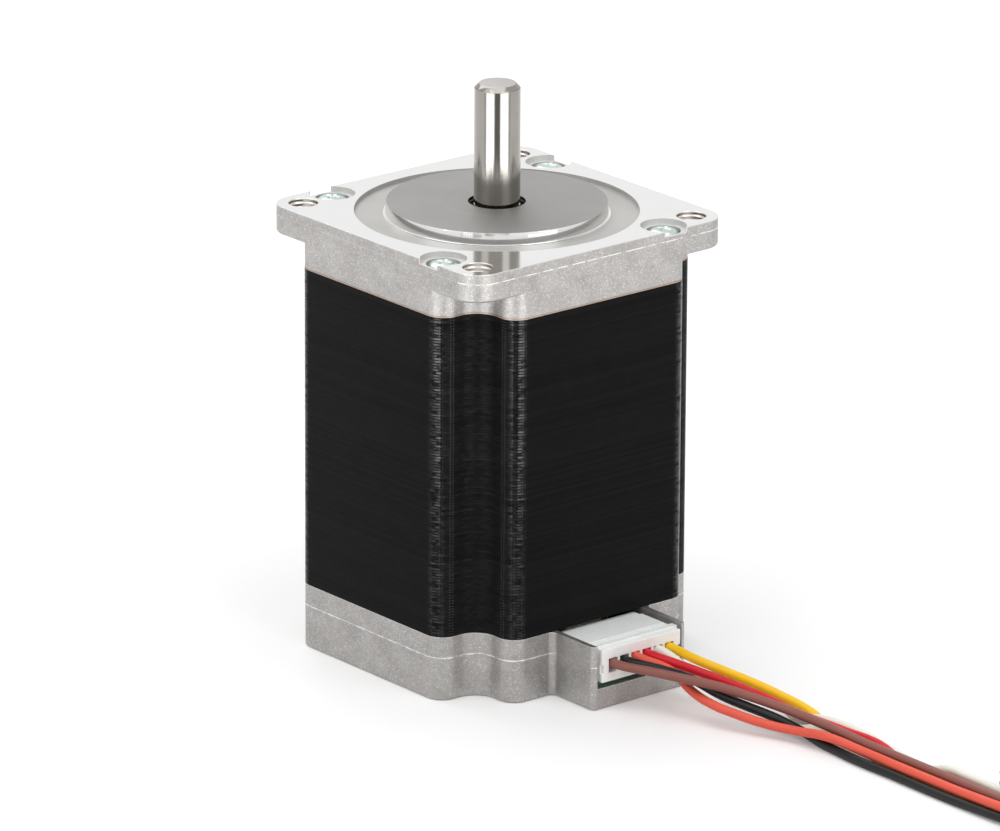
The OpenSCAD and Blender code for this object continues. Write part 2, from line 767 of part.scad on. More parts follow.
// Lead's colour, route, place in the coil's bundle (side and row) and turns
LEADS = [["saddlebrown", brown_yz, 0, 1, middle_turns], ["black", black_yz, 1, 0, outer_turns],
         ["darkorange", orange_yz, 1, 1, outer_turns], ["red", red_yz, -1, 0, inner_turns],
         ["ivory", white_yz, -1, 1, inner_turns], ["gold", yellow_yz, 0, 0, middle_turns]];

module lead(i) {
    color(LEADS[i][0]) tube(route(LEADS[i][1]), lead_r, lead_sides);
}

function wound(i) = coil_path(LEADS[i][1], LEADS[i][2], LEADS[i][3], LEADS[i][4]);

module coil(i) {
    echo(lead = LEADS[i][0], least_gap_to_itself = self_gap(wound(i)));
    color(LEADS[i][0]) tube(wound(i), lead_r, coil_sides);
}

// Strap round both layers of the coil, with its lock on top
module coil_tie() {
    a = 360 * (tie_turn + coil_start_turn);
    in_w = 2 * coil_side + lead_d + 2 * tie_gap;
    in_h = coil_rise + layer_rise + lead_d + tie_gap;
    in_z = coil_z - lead_r - tie_gap / 2;
    color("black") translate([coil_x, coil_y, in_z + in_h / 2]) rotate(a) translate([coil_r(tie_turn), 0]) {
        rotate([90, 0, 0]) linear_extrude(tie_w, center = true) difference() {
            rounded(in_w + 2 * tie_t, in_h + 2 * tie_t, lead_r);
            rounded(in_w, in_h, lead_r / 2);
        }
        translate([-tie_lock, -tie_w / 2, in_h / 2]) cube([2 * tie_lock, tie_w, tie_lock]);
    }
}

module tinned_ends() {
    color("silver") for (i = [0:len(LEADS) - 1]) {
        p = wound(i);
        end = p[len(p) - 1];
        turn = 360 * (LEADS[i][4] + coil_start_turn) + 90;
        translate(end) rotate([0, 90, turn]) cylinder(h = tin_l, r = tin_r);
    }
}

front_cover();
rear_cover();
tie_screws();
stator_stack();
front_insulator();
rear_insulator();
phase_a_coils();
phase_b_coils();
shaft();
rotor_cup_front();
rotor_cup_rear();
rotor_magnet();
front_shim();
rear_shim();
wave_spring();
at_front_bearing() outer_race();  // front_outer_race
at_front_bearing() inner_race();  // front_inner_race
at_front_bearing() balls();  // front_balls
at_front_bearing() cage();  // front_cage
at_front_bearing() shields();  // front_shields
at_rear_bearing() outer_race();  // rear_outer_race
at_rear_bearing() inner_race();  // rear_inner_race
at_rear_bearing() balls();  // rear_balls
at_rear_bearing() cage();  // rear_cage
at_rear_bearing() shields();  // rear_shields
circuit_board();
header_housing();
header_pins();
plug_housing();
plug_contacts();
lead(0);  // lead_brown
lead(1);  // lead_black
lead(2);  // lead_orange
lead(3);  // lead_red
lead(4);  // lead_white
lead(5);  // lead_yellow
coil(0);  // coil_brown
coil(1);  // coil_black
coil(2);  // coil_orange
coil(3);  // coil_red
coil(4);  // coil_white
coil(5);  // coil_yellow
coil_tie();
tinned_ends();
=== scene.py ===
"""Stepper motor: the visual model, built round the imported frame.

Lengths are in millimetres until they are given to Blender; only the leads' routes are written in metres.
"""
from functools import cache
from math import cos, hypot, pi, radians, sin, sqrt

import bmesh
import bpy
from bpy.props import FloatProperty, FloatVectorProperty, IntProperty, PointerProperty
from bpy.types import Operator, Panel, PropertyGroup
from mathutils import Matrix, Vector


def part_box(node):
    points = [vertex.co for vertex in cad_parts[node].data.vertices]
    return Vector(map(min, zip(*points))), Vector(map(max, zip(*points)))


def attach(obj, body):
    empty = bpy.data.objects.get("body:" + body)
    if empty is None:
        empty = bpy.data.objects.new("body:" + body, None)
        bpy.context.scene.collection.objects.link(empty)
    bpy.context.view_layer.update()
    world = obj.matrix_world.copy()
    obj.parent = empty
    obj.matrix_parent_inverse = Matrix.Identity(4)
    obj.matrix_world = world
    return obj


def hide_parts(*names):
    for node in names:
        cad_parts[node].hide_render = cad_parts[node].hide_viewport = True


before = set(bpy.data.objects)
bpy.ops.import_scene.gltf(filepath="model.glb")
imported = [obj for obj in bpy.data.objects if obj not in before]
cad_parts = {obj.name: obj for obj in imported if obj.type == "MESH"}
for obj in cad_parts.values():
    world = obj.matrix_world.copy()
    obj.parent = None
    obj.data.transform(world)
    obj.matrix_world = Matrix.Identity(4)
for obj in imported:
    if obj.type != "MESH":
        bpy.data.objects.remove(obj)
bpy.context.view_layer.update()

bl_info = {
    "name": "Stepper Motor",
    "version": (1, 0, 0),
    "blender": (4, 5, 0),
    "location": "View3D > Sidebar > Motor",
    "description": "Builds the covers, stack, shaft, screws, connector and leads of a stepper motor",
    "category": "Object",
}

MM = 0.001

# Plan of the covers and the stack
HALF = 28.2
HOLE_AT = 23.57
HOLE_R = 2.6
NOTCH_WALL = 19.5
LOBE_AT = 16.2
LOBE_OUT = 24.9
CORNER_R = 4.63
BAY_X = 38.9
BAY_HALF = 10.35
BAY_EDGE = 0.9
BAY_FILLET = 1.2

# Heights
REAR_TOP = 11.5
STACK_TOP = 68.5
FLANGE_Z = 73.0
FACE_Z = 78.0
PILOT_Z = 79.5
TIP_Z = 100.5

# Round forms of the covers
RING_R, RING_Z = 24.45, 77.3
PILOT_R = 19.5
CAVITY_R = 25.4
SEAT_R, SEAT_WALL_R = 11.01, 13.4
SHAFT_HOLE_R = 4.95
POCKET_R, POCKET_Z = 4, 77.1
HEAD_R, HEAD_Z = 3, 75.3
SCREW_R = 1.5

# What the halves of the die leave: heights of the lines on the rear and the front cover
REAR_LINE, FRONT_LINE = 7.6, 3.22

# Leads: colour name, route points (y, z) at the distances of ROUTE_X, all in metres, then the side and the row
# that the lead has in the coil, and its turns there
ROUTE_X = (0.0378, 0.041, 0.046, 0.051, 0.056, 0.061, 0.066, 0.071, 0.078, 0.086, 0.095, 0.103, 0.106)
LEADS = {
    "brown": (((-0.00625, 0.0081), (-0.00625, 0.0081), (-0.0039, 0.0079), (-0.001, 0.0074), (0.0026, 0.0066),
               (0.0058, 0.0054), (0.008, 0.0045), (0.0093, 0.0039), (0.01, 0.0034), (0.0107, 0.0028),
               (0.0109, 0.0027), (0.0109, 0.0027), (0.0109, 0.0027)), 0, 1, 2.5),
    "black": (((-0.00375, 0.0081), (-0.00375, 0.0081), (-0.0008, 0.0074), (0.0013, 0.0067), (0.0036, 0.0047),
               (0.0055, 0.0036), (0.0072, 0.0027), (0.0087, 0.0014), (0.0083, 0.0008), (0.0078, 0.0008),
               (0.0079, 0.0008), (0.0078, 0.0008), (0.0078, 0.0008)), 1, 0, 2.25),
    "orange": (((-0.00125, 0.0081), (-0.00125, 0.0081), (0.0012, 0.0067), (0.0013, 0.0046), (0.0012, 0.0038),
                (0.0026, 0.003), (0.0046, 0.0023), (0.0066, 0.0021), (0.0079, 0.0027), (0.0091, 0.0021),
                (0.009, 0.0021), (0.009, 0.0021), (0.009, 0.0021)), 1, 1, 2.25),
    "red": (((0.00125, 0.0081), (0.00125, 0.0081), (0.0033, 0.0073), (0.0057, 0.0062), (0.0082, 0.0049),
             (0.0101, 0.0038), (0.0107, 0.0031), (0.0109, 0.0031), (0.012, 0.0027), (0.0125, 0.0026),
             (0.0121, 0.0008), (0.0121, 0.0008), (0.0121, 0.0008)), -1, 0, 2.75),
    "white": (((0.00375, 0.0081), (0.00375, 0.0081), (0.0059, 0.0056), (0.0098, 0.0048), (0.0125, 0.0033),
               (0.0135, 0.0017), (0.0122, 0.0013), (0.0127, 0.0027), (0.0139, 0.0026), (0.0143, 0.0016),
               (0.0139, 0.0008), (0.0139, 0.0026), (0.0139, 0.0026)), -1, 1, 2.75),
    "yellow": (((0.00625, 0.0081), (0.00625, 0.0081), (0.0066, 0.0076), (0.0086, 0.0065), (0.0113, 0.005),
                (0.0133, 0.0036), (0.0143, 0.0025), (0.0145, 0.0011), (0.0136, 0.0008), (0.0112, 0.0008),
                (0.0101, 0.0008), (0.0101, 0.0008), (0.0101, 0.0008)), 0, 0, 2.5),
}
# The leads' diameter
LEAD_D = 1.6
# The coil's middle, its lowest line, and the points in a turn
COIL_AT = (132.6, 26.9)
COIL_Z = 1.35
COIL_STEPS = 24
# Radius where the coil is narrowest, what a turn adds, how far apart two leads lie, and the rise of the upper layer
COIL_R, COIL_PITCH, COIL_SIDE, COIL_LAYER = 7.6, 7.4, 1.95, 3.6
# Straight lengths after the coil and before it
TAIL = 9
LEAD_STRAIGHT = 2

# Distance within which doubled vertices are merged, in metres, the upright axis, and the steps of a round form
MERGE = 0.002 * MM
UP = (0, 0, 1)
ROUND = 96


# ---------------------------------------------------------------- modelling helpers

def clear_selection():
    """Leave edit mode and deselect everything."""
    if bpy.context.mode != "OBJECT":
        bpy.ops.object.mode_set(mode="OBJECT")
    bpy.ops.object.select_all(action="DESELECT")


def pick(piece):
    """Make one piece the only selected and active object."""
    clear_selection()
    piece.select_set(True)
    bpy.context.view_layer.objects.active = piece


def start_point(name, x, y, z):
    """A new mesh of one vertex, left in edit mode with the object at the origin."""
    clear_selection()
    bpy.ops.mesh.primitive_plane_add(size=MM, location=(x * MM, y * MM, z * MM))
    piece = bpy.context.object
    piece.name = name
    bpy.ops.object.transform_apply(location=True)
    bpy.ops.object.mode_set(mode="EDIT")
    bpy.ops.mesh.select_mode(type="VERT")
    bpy.ops.mesh.select_all(action="SELECT")
    bpy.ops.mesh.merge(type="CENTER")
    return piece


def extrude(dx, dy, dz):
    """Draw what is selected out by a step."""
    bpy.ops.mesh.extrude_region_move(TRANSFORM_OT_translate={"value": (dx * MM, dy * MM, dz * MM)})


def turned(x, y, cx, cy, turn):
    """The point (x, y) turned about (cx, cy) by degrees."""
    a = radians(turn)
    dx, dy = x - cx, y - cy
    return cx + dx * cos(a) - dy * sin(a), cy + dx * sin(a) + dy * cos(a)


def merge_and_face_out():
    """Join doubled vertices and turn every face outwards."""
    bpy.ops.mesh.select_all(action="SELECT")
    bpy.ops.mesh.remove_doubles(threshold=MERGE)
    bpy.ops.mesh.normals_make_consistent(inside=False)


def trace(name, start, z, moves, steps=10):
    """Draw a closed outline: a move is (x, y) for a straight edge or (x, y, turn) for an arc about (x, y)."""
    piece = start_point(name, *start, z)
    x, y = start
    for move in moves:
        if len(move) == 3:
            bpy.ops.mesh.spin(steps=steps, angle=radians(-move[2]), center=(move[0] * MM, move[1] * MM, z * MM),
                              axis=UP)
            x, y = turned(x, y, *move)
        elif hypot(move[0] - x, move[1] - y) > 1e-6:
            extrude(move[0] - x, move[1] - y, 0)
            x, y = move
    bpy.ops.mesh.select_all(action="SELECT")
    bpy.ops.mesh.remove_doubles(threshold=MERGE)
    bpy.ops.mesh.edge_face_add()
    return piece


def lathe(name, profile, steps, at=(0, 0)):
    """Turn a closed profile of (radius, height) points round the vertical line through at."""
    r, z = profile[0]
    piece = start_point(name, at[0] + r, at[1], z)
    for (r0, z0), (r1, z1) in zip(profile, profile[1:]):
        extrude(r1 - r0, 0, z1 - z0)
    bpy.ops.mesh.select_all(action="SELECT")
    bpy.ops.mesh.spin(steps=steps, angle=2 * pi, center=(at[0] * MM, at[1] * MM, 0), axis=UP)
    merge_and_face_out()
    clear_selection()
    return piece


def rod(name, radius, low, high, steps, at=(0, 0)):
    """A plain upright cylinder."""
    return lathe(name, [(0, low), (radius, low), (radius, high), (0, high)], steps, at)


def block(name, low, high):
    """A box between two corners, left in object mode."""
    piece = start_point(name, *low)
    extrude(high[0] - low[0], 0, 0)
    bpy.ops.mesh.select_all(action="SELECT")
    extrude(0, high[1] - low[1], 0)
    bpy.ops.mesh.select_all(action="SELECT")
    extrude(0, 0, high[2] - low[2])
    merge_and_face_out()
    clear_selection()
    return piece


def join(pieces):
    """Several pieces as one mesh, for one cut."""
    clear_selection()
    for piece in pieces:
        piece.select_set(True)
    bpy.context.view_layer.objects.active = pieces[0]
    bpy.ops.object.join()
    return pieces[0]


def modify(piece, kind, **settings):
    """Add one modifier to a piece, set it and apply it."""
    pick(piece)
    bpy.ops.object.modifier_add(type=kind)
    change = piece.modifiers[-1]
    for key, value in settings.items():
        setattr(change, key, value)
    bpy.ops.object.modifier_apply(modifier=change.name)


def combine(piece, other, operation="DIFFERENCE"):
    """Cut other out of piece, or unite the two; other is used up."""
    modify(piece, "BOOLEAN", operation=operation, solver="EXACT", object=other)
    bpy.data.objects.remove(other)


def edit(piece):
    """Open one piece's mesh for editing."""
    pick(piece)
    bpy.ops.object.mode_set(mode="EDIT")


def tidy_mesh(piece, flat=0.5):
    """Join doubled vertices and neighbouring faces that lie flat within an angle in degrees."""
    edit(piece)
    bpy.ops.mesh.select_all(action="SELECT")
    bpy.ops.mesh.remove_doubles(threshold=2 * MERGE)
    bpy.ops.mesh.dissolve_limited(angle_limit=radians(flat))
    bpy.ops.mesh.normals_make_consistent(inside=False)
    clear_selection()


def round_edges(piece, chosen, width, segments=3):
    """Round the sharp edges whose two ends both pass the test chosen, given in mm."""
    edit(piece)
    bpy.ops.mesh.select_mode(type="EDGE")
    bpy.ops.mesh.select_all(action="DESELECT")
    shape = bmesh.from_edit_mesh(piece.data)
    for edge in shape.edges:
        sharp = edge.is_manifold and edge.calc_face_angle(0) > radians(30)
        edge.select = sharp and all(chosen(*(v.co / MM)) for v in edge.verts)
    bmesh.update_edit_mesh(piece.data)
    bpy.ops.mesh.bevel(offset=width * MM, segments=segments, affect="EDGES", clamp_overlap=True)
    clear_selection()


def smooth(piece, edge, angle=35):
    """Break every edge sharper than an angle in degrees by a small radius and shade the piece smooth across it."""
    modify(piece, "BEVEL", width=edge * MM, segments=2, limit_method="ANGLE", angle_limit=radians(angle),
           use_clamp_overlap=True)
    bpy.ops.object.shade_smooth_by_angle(angle=radians(angle + 10))
    modify(piece, "WEIGHTED_NORMAL", keep_sharp=True, weight=90)


def settle(piece, body, materials, replaced=(), choose=None):
    """Give a finished piece its materials and body, and hide the CAD nodes that it stands for."""
    for material in materials:
        piece.data.materials.append(material)
    if choose:
        for face in piece.data.polygons:
            corners = [piece.data.vertices[i].co / MM for i in face.vertices]
            face.material_index = choose(corners, face.normal)
    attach(piece, body)
    if replaced:
        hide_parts(*replaced)


def copy_of(piece, name, place):
    """A copy of a piece with its own mesh, moved by a matrix that is applied to the mesh."""
    twin = piece.copy()
    twin.data = piece.data.copy()
    twin.name = name
    twin.data.transform(place)
    bpy.context.scene.collection.objects.link(twin)
    return twin


def four_ways(x, y):
    """A point and its three others, a quarter turn apart round the shaft's line."""
    return [turned(x, y, 0, 0, 90 * i) for i in range(4)]


def all_round(quarter):
    """The moves of a quarter of an outline, then the same for the three other quarters."""
    return [(*turned(*move[:2], 0, 0, 90 * i), *move[2:]) for i in range(4) for move in quarter]


def raise_outline(steps):
    """Raise the selected outline by each step's height and scale it there about the shaft's line."""
    for height, grow in steps:
        extrude(0, 0, height)
        bpy.ops.transform.resize(value=(grow, grow, 1), center_override=(0, 0, 0))


# From the middle of one flat of the lobed plan to the middle of the next, and so on round
LOBED_PLAN = all_round(((HALF, LOBE_AT), (LOBE_OUT, LOBE_AT, 90), (HOLE_AT, NOTCH_WALL), (HOLE_AT, HOLE_AT, -90),
                        (NOTCH_WALL, LOBE_OUT), (LOBE_AT, LOBE_OUT, 90), (0, HALF)))


# ---------------------------------------------------------------- material helpers

class Nodes:
    """Adds nodes to one tree. Inputs are given by name, with _ for a space, or as _0, _1 by number."""

    def __init__(self, tree, owner=None):
        self.tree, self.owner = tree, owner

    def __call__(self, kind, settings=None, **inputs):
        node = self.tree.nodes.new("ShaderNode" + kind)
        for key, value in (settings or {}).items():
            setattr(node, key, value)
        self.fill(node, **inputs)
        return node

    def fill(self, node, **inputs):
        """Link a node's inputs to other nodes, or set them."""
        for key, value in inputs.items():
            socket = node.inputs[int(key[1:])] if key[0] == "_" else node.inputs[key.replace("_", " ")]
            if isinstance(value, bpy.types.NodeSocket):
                self.tree.links.new(value, socket)
            else:
                socket.default_value = value

    def math(self, operation, a, b=0.0, c=0.0, clamp=False):
        """The result of one Math node."""
        return self("Math", {"operation": operation, "use_clamp": clamp}, _0=a, _1=b, _2=c).outputs[0]

    def plus(self, a, b):
        """Two numbers added."""
        return self.math("ADD", a, b)

    def times(self, a, b):
        """Two numbers multiplied."""
        return self.math("MULTIPLY", a, b)

    def span(self, value, low, high, to_low=0.0, to_high=1.0):
        """A value from low to high brought to the range to_low to to_high, held at both ends."""
        return self("MapRange", _0=value, _1=low, _2=high, _3=to_low, _4=to_high).outputs[0]

    def blend(self, factor, a, b):
        """Colour a where the factor is 0, and b where it is 1."""
        return self("Mix", {"data_type": "RGBA"}, _0=factor, _6=a, _7=b).outputs[2]

    def vary(self, factor, colour, low, high):
        """A colour scaled by low where the factor is 0, and by high where it is 1."""
        return self.blend(factor, rgb(colour, low), rgb(colour, high))

    def tint(self, base, mask, amount, colour, scale=1.0):
        """A base with a colour laid over it by an amount of a mask."""
        return self.blend(self.times(mask, amount), base, rgb(colour, scale))

    def place(self):
        """Object coordinates."""
        return self("TexCoord").outputs["Object"]

    def axes(self):
        """Object coordinates as three numbers."""
        return self("SeparateXYZ", Vector=self.place()).outputs

    def vector(self, x=0.0, y=0.0, z=0.0):
        """Three numbers as a vector."""
        return self("CombineXYZ", X=x, Y=y, Z=z).outputs[0]

    def radius(self):
        """Distance from the shaft's line."""
        flat = self("VectorMath", {"operation": "MULTIPLY"}, _0=self.place(), _1=(1, 1, 0)).outputs[0]
        return self("VectorMath", {"operation": "LENGTH"}, _0=flat).outputs["Value"]

    def noise(self, scale, at=None, detail=2.0, rough=0.5):
        """Smooth noise, on Object coordinates where no other place is given."""
        return self("TexNoise", Vector=at or self.place(), Scale=scale, Detail=detail,
                    Roughness=rough).outputs[0]

    def rough(self, noise, low, high):
        """Roughness from low to high over the middle of a noise's range."""
        return self.span(noise, 0.3, 0.7, low, high)

    def surface(self, base, rough, relief, metal=1.0, **more):
        """Fill the material's shader; relief is a height, its strength and its full step in mm."""
        height, strength, step = relief
        normal = self("Bump", Strength=strength, Distance=step * MM, Height=height).outputs[0]
        self.fill(self.tree.nodes["Principled BSDF"], Base_Color=base, Metallic=metal, Roughness=rough,
                  Normal=normal, **more)
        return self.owner


def shader_group(name, inputs, outputs):
    """A new node group for numbers: its nodes, what it is given, and the node that takes what it puts out."""
    tree = bpy.data.node_groups.new(name, "ShaderNodeTree")
    for key, value in inputs.items():
        tree.interface.new_socket(key, in_out="INPUT", socket_type="NodeSocketFloat").default_value = value
    for key in outputs:
        tree.interface.new_socket(key, in_out="OUTPUT", socket_type="NodeSocketFloat")
    return Nodes(tree), tree.nodes.new("NodeGroupInput").outputs, tree.nodes.new("NodeGroupOutput")


def grain_group():
    """Die-cast skin: fine grain, shallow flow marks and flakes that catch the light."""
    n, given, out = shader_group("Cast grain", {"Grain": 3500.0, "Flow": 180.0, "Flakes": 0.12},
                                 ("Height", "Tone", "Flake"))
    flow = n.noise(given["Flow"], detail=4.0, rough=0.6)
    cells = n("TexVoronoi", Vector=n.place(), Scale=given["Grain"]).outputs[1]
    chance = n("SeparateColor", Color=cells).outputs[0]
    n.fill(out, Height=n.plus(n.noise(given["Grain"]), n.times(flow, 0.8)), Tone=flow,
           Flake=n.math("GREATER_THAN", chance, n.math("SUBTRACT", 1.0, given["Flakes"])))
    return n.tree


def wear_group():
    """Edges: 1 on a convex or hollow edge, 0 on an open face."""
    n, given, out = shader_group("Edge wear", {"Radius": 0.0004, "Gain": 6.0}, ("Edge",))
    round_normal = n("Bevel", {"samples": 4}, Radius=given["Radius"]).outputs[0]
    normal = n("NewGeometry").outputs["Normal"]
    dot = n("VectorMath", {"operation": "DOT_PRODUCT"}, _0=round_normal, _1=normal).outputs["Value"]
    n.fill(out, Edge=n.math("MULTIPLY", n.math("SUBTRACT", 1.0, dot), given["Gain"], clamp=True))
    return n.tree


def turning_group():
    """Rings that a lathe leaves round the shaft's line, wandering a little."""
    n, given, out = shader_group("Turning marks", {"Rings": 6000.0, "Wander": 0.15}, ("Height", "Tone"))
    rings = n.noise(given["Rings"], n.vector(n.radius()), 3.0)
    broad = n.noise(90.0)
    n.fill(out, Height=n.plus(rings, n.times(broad, given["Wander"])), Tone=broad)
    return n.tree


def streak_group():
    """Fine streaks along x or round the shaft's line, as grinding, rolling or extruding leaves."""
    n, given, out = shader_group("Streaks", {"Across": 9000.0, "Along": 60.0}, ("Along x", "Round z"))
    scaled = [(n.times(s, given["Across"]), n.times(s, given["Along"])) for s in n.axes()]
    for key, scales in (("Along_x", (1, 0, 0)), ("Round_z", (1, 1, 0))):
        at = n.vector(*(both[scale] for both, scale in zip(scaled, scales)))
        n.fill(out, **{key: n.noise(1.0, at)})
    return n.tree


def dust_group():
    """Faint blotches of dust and handling that change colour and gloss."""
    n, given, out = shader_group("Dust", {"Size": 260.0, "Amount": 0.5}, ("Mask",))
    blotch = n.noise(given["Size"], detail=6.0, rough=0.65)
    mask = n.span(n.plus(blotch, n.times(n.noise(7000.0), 0.25)), 0.55, 0.85)
    n.fill(out, Mask=n.times(mask, given["Amount"]))
    return n.tree


GROUPS = {"grain": grain_group, "wear": wear_group, "turning": turning_group, "streaks": streak_group,
          "dust": dust_group}


@cache
def shared(key):
    """A shared group, built the first time it is asked for."""
    return GROUPS[key]()


def group(n, key, **inputs):
    """A shared group placed in a material with its own values."""
    return n("Group", {"node_tree": shared(key)}, **inputs).outputs


def worn(n, radius, gain):
    """Mask of worn edges, for an edge radius in mm."""
    return group(n, "wear", Radius=radius * MM, Gain=gain)["Edge"]


def dusty(n, size, amount):
    """Mask of dust, in blotches of a size."""
    return group(n, "dust", Size=size, Amount=amount)["Mask"]


def streaked(n, key, across, along):
    """Streaks along x or round the shaft's line."""
    return group(n, "streaks", Across=across, Along=along)[key]


def rgb(colour, scale=1.0):
    """A colour with full alpha, made darker or lighter."""
    return (colour[0] * scale, colour[1] * scale, colour[2] * scale, 1.0)


def new_material(name, colour):
    """The nodes of a new material, coloured alike in the viewport."""
    made = bpy.data.materials.new(name)
    made.use_nodes = True
    made.diffuse_color = rgb(colour)
    return Nodes(made.node_tree, made)


@cache
def material(key):
    """The named material, built the first time it is asked for."""
    return BUILDERS[key]()


def cast_aluminium():
    """Die-cast skin, stained where it meets the stack, with a broken bright line where the dies met."""
    colour = colours().cast
    n = new_material("Cast aluminium", colour)
    grain = group(n, "grain", Grain=6800.0, Flow=240.0, Flakes=0.08)
    wear = worn(n, 0.35, 5.0)
    base = n.vary(n.span(grain["Tone"], 0.3, 0.7), colour, 0.82, 1.12)
    speckle = n.noise(1500.0, detail=3.0, rough=0.7)
    base = n.blend(n.span(speckle, 0.5, 0.72, 0.0, 0.45), base, rgb(colour, 0.6))
    base = n.blend(dusty(n, 220.0, 0.35), base, rgb((0.42, 0.39, 0.36)))
    base = n.tint(base, wear, 0.6, (0.86, 0.86, 0.86))
    base = n.tint(base, grain["Flake"], 0.3, (0.97, 0.97, 0.98))
    rough = n.math("SUBTRACT", n.rough(grain["Tone"], 0.45, 0.57),
                   n.plus(n.times(grain["Flake"], 0.1), n.times(wear, 0.12)))
    across, _, height = n.axes()
    stain = n.math("COMPARE", height, STACK_TOP * MM, 0.35 * MM)
    base = n.tint(base, stain, 0.55, (0.3, 0.17, 0.09))
    # Middle of each die line, and the x from which it shows; neither is on the bay
    for z, start in ((REAR_LINE + 0.045, -99), (FLANGE_Z + FRONT_LINE + 0.04, 24)):
        line = n.math("COMPARE", height, z * MM, 0.1 * MM)
        broken = n.span(n.noise(700.0, detail=3.0), 0.45, 0.55)
        within = n.times(n.math("LESS_THAN", across, (HALF + 1) * MM), n.math("GREATER_THAN", across, start * MM))
        base = n.tint(base, n.times(n.times(line, broken), within), 0.6, (0.98, 0.98, 0.98))
    return n.surface(base, rough, (grain["Height"], 0.55, 0.06))


def milled_aluminium():
    """The flange face: flat, bright, with faint lapping streaks."""
    colour = colours().milled
    n = new_material("Milled aluminium", colour)
    streaks = streaked(n, "Along x", 5000.0, 120.0)
    dust = dusty(n, 160.0, 0.3)
    return n.surface(n.vary(dust, colour, 1.0, 0.95), n.plus(n.rough(streaks, 0.06, 0.1), n.times(dust, 0.06)),
                     (streaks, 0.05, 0.004))


def turned_aluminium(name, colour, low, high):
    """Turned faces round the pilot: matt, with the tool's rings."""
    n = new_material(name, colour)
    rings = group(n, "turning", Rings=5200.0, Wander=0.3)
    return n.surface(n.vary(n.span(rings["Tone"], 0.3, 0.7), colour, 0.95, 1.05),
                     n.span(rings["Height"], 0.3, 0.8, low, high), (rings["Height"], 0.3, 0.006))


def bright_aluminium():
    """The pilot's wall and ledge: turned to a mirror."""
    colour = colours().milled
    n = new_material("Bright turned aluminium", colour)
    streaks = streaked(n, "Round z", 16000.0, 40.0)
    return n.surface(n.vary(streaks, colour, 0.96, 1.0), n.rough(streaks, 0.05, 0.12), (streaks, 0.03, 0.002))


def drilled_aluminium(name, dark, light):
    """Walls of holes: ridges of the drill and streaks between a darker, brownish colour and a lighter one. Where both
    colours are near black, as for the bore, they are painted shade.
    """
    n = new_material(name, light)
    ridge = n.math("SINE", n.times(n.axes()[2], 2 * pi / (0.8 * MM)))
    streaks = streaked(n, "Round z", 9000.0, 200.0)
    return n.surface(n.blend(streaks, rgb(dark), rgb(light)), n.rough(streaks, 0.25, 0.4), (ridge, 0.8, 0.12))


def stack_black():
    """Black varnish over the edges of the laminations, rubbed glossy on the corner lobes."""
    colour = colours().stack
    n = new_material("Varnished laminations", colour)
    x, y, z = n.axes()
    layers = n.math("DIVIDE", n.math("SUBTRACT", z, REAR_TOP * MM), sizes().lamination)
    share, layer = n.math("FRACT", layers), n.math("FLOOR", layers)
    lot = n("TexWhiteNoise", {"noise_dimensions": "3D"}, _0=n.vector(layer)).outputs[0]
    dash_at = n.vector(n.times(x, 700.0), n.times(y, 700.0), n.times(layer, 3.7))
    dash = n.span(n.noise(1.0, dash_at, 1.0), 0.35, 0.6)
    land = n.span(n.math("ABSOLUTE", n.math("SUBTRACT", share, 0.45)), 0.2, 0.4, 1.0, 0.0)
    nearer = n.math("MINIMUM", n.math("ABSOLUTE", x), n.math("ABSOLUTE", y))
    corner = n.span(nearer, 16.0 * MM, 16.5 * MM)
    rubbed = n.times(corner, n.span(n.radius(), 32.7 * MM, 33.0 * MM))
    base = n.tint(n.vary(lot, colour, 0.85, 1.2), dusty(n, 300.0, 0.5), 0.1, (0.04, 0.04, 0.04))
    gloss = n.plus(n.times(rubbed, 0.85), n.times(corner, 0.15))
    gloss = n.times(n.times(gloss, n.times(dash, land)), n.span(lot, 0.0, 1.0, 0.45, 1.0))
    return n.surface(base, n.span(rubbed, 0.0, 1.0, 0.42, 0.16),
                     (streaked(n, "Round z", 2600.0, 90.0), 0.5, 0.08), 0.0,
                     Specular_IOR_Level=n.span(gloss, 0.0, 1.0, 0.03, 0.6))


def ground_steel():
    """Ground shaft: fine rings of grinding and soft stains."""
    colour = colours().shaft
    n = new_material("Ground steel", colour)
    streaks = streaked(n, "Round z", 14000.0, 60.0)
    base = n.tint(n.vary(streaks, colour, 0.93, 1.04), dusty(n, 240.0, 0.6), 0.25, (0.5, 0.46, 0.42))
    return n.surface(base, n.rough(streaks, 0.09, 0.15), (streaks, 0.5, 0.006))


def plain_metal(name, colour, rough, key="Round z", strength=0.1, across=8000.0):
    """Metal with streaks one way, a little blotch and worn edges."""
    n = new_material(name, colour)
    streaks = streaked(n, key, across, 80.0)
    dust = dusty(n, 500.0, 0.5)
    base = n.tint(n.vary(streaks, colour, 0.9, 1.06), dust, 0.4, colour, 0.7)
    base = n.tint(base, worn(n, 0.12, 4.0), 0.4, colour, 1.2)
    return n.surface(base, n.plus(n.rough(streaks, rough - 0.05, rough + 0.06), n.times(dust, 0.12)),
                     (streaks, strength, 0.006))


def zinc_plate():
    """Zinc plate with a blue-green passivated tint."""
    colour = colours().zinc
    n = new_material("Zinc plate", colour)
    grit = n.noise(6000.0)
    base = n.blend(n.span(n.noise(420.0, detail=3.0), 0.35, 0.65), rgb(colour), rgb((0.62, 0.7, 0.62)))
    base = n.tint(base, worn(n, 0.15, 5.0), 0.5, (0.93, 0.94, 0.94))
    return n.surface(base, n.rough(grit, 0.18, 0.34), (grit, 0.2, 0.01))


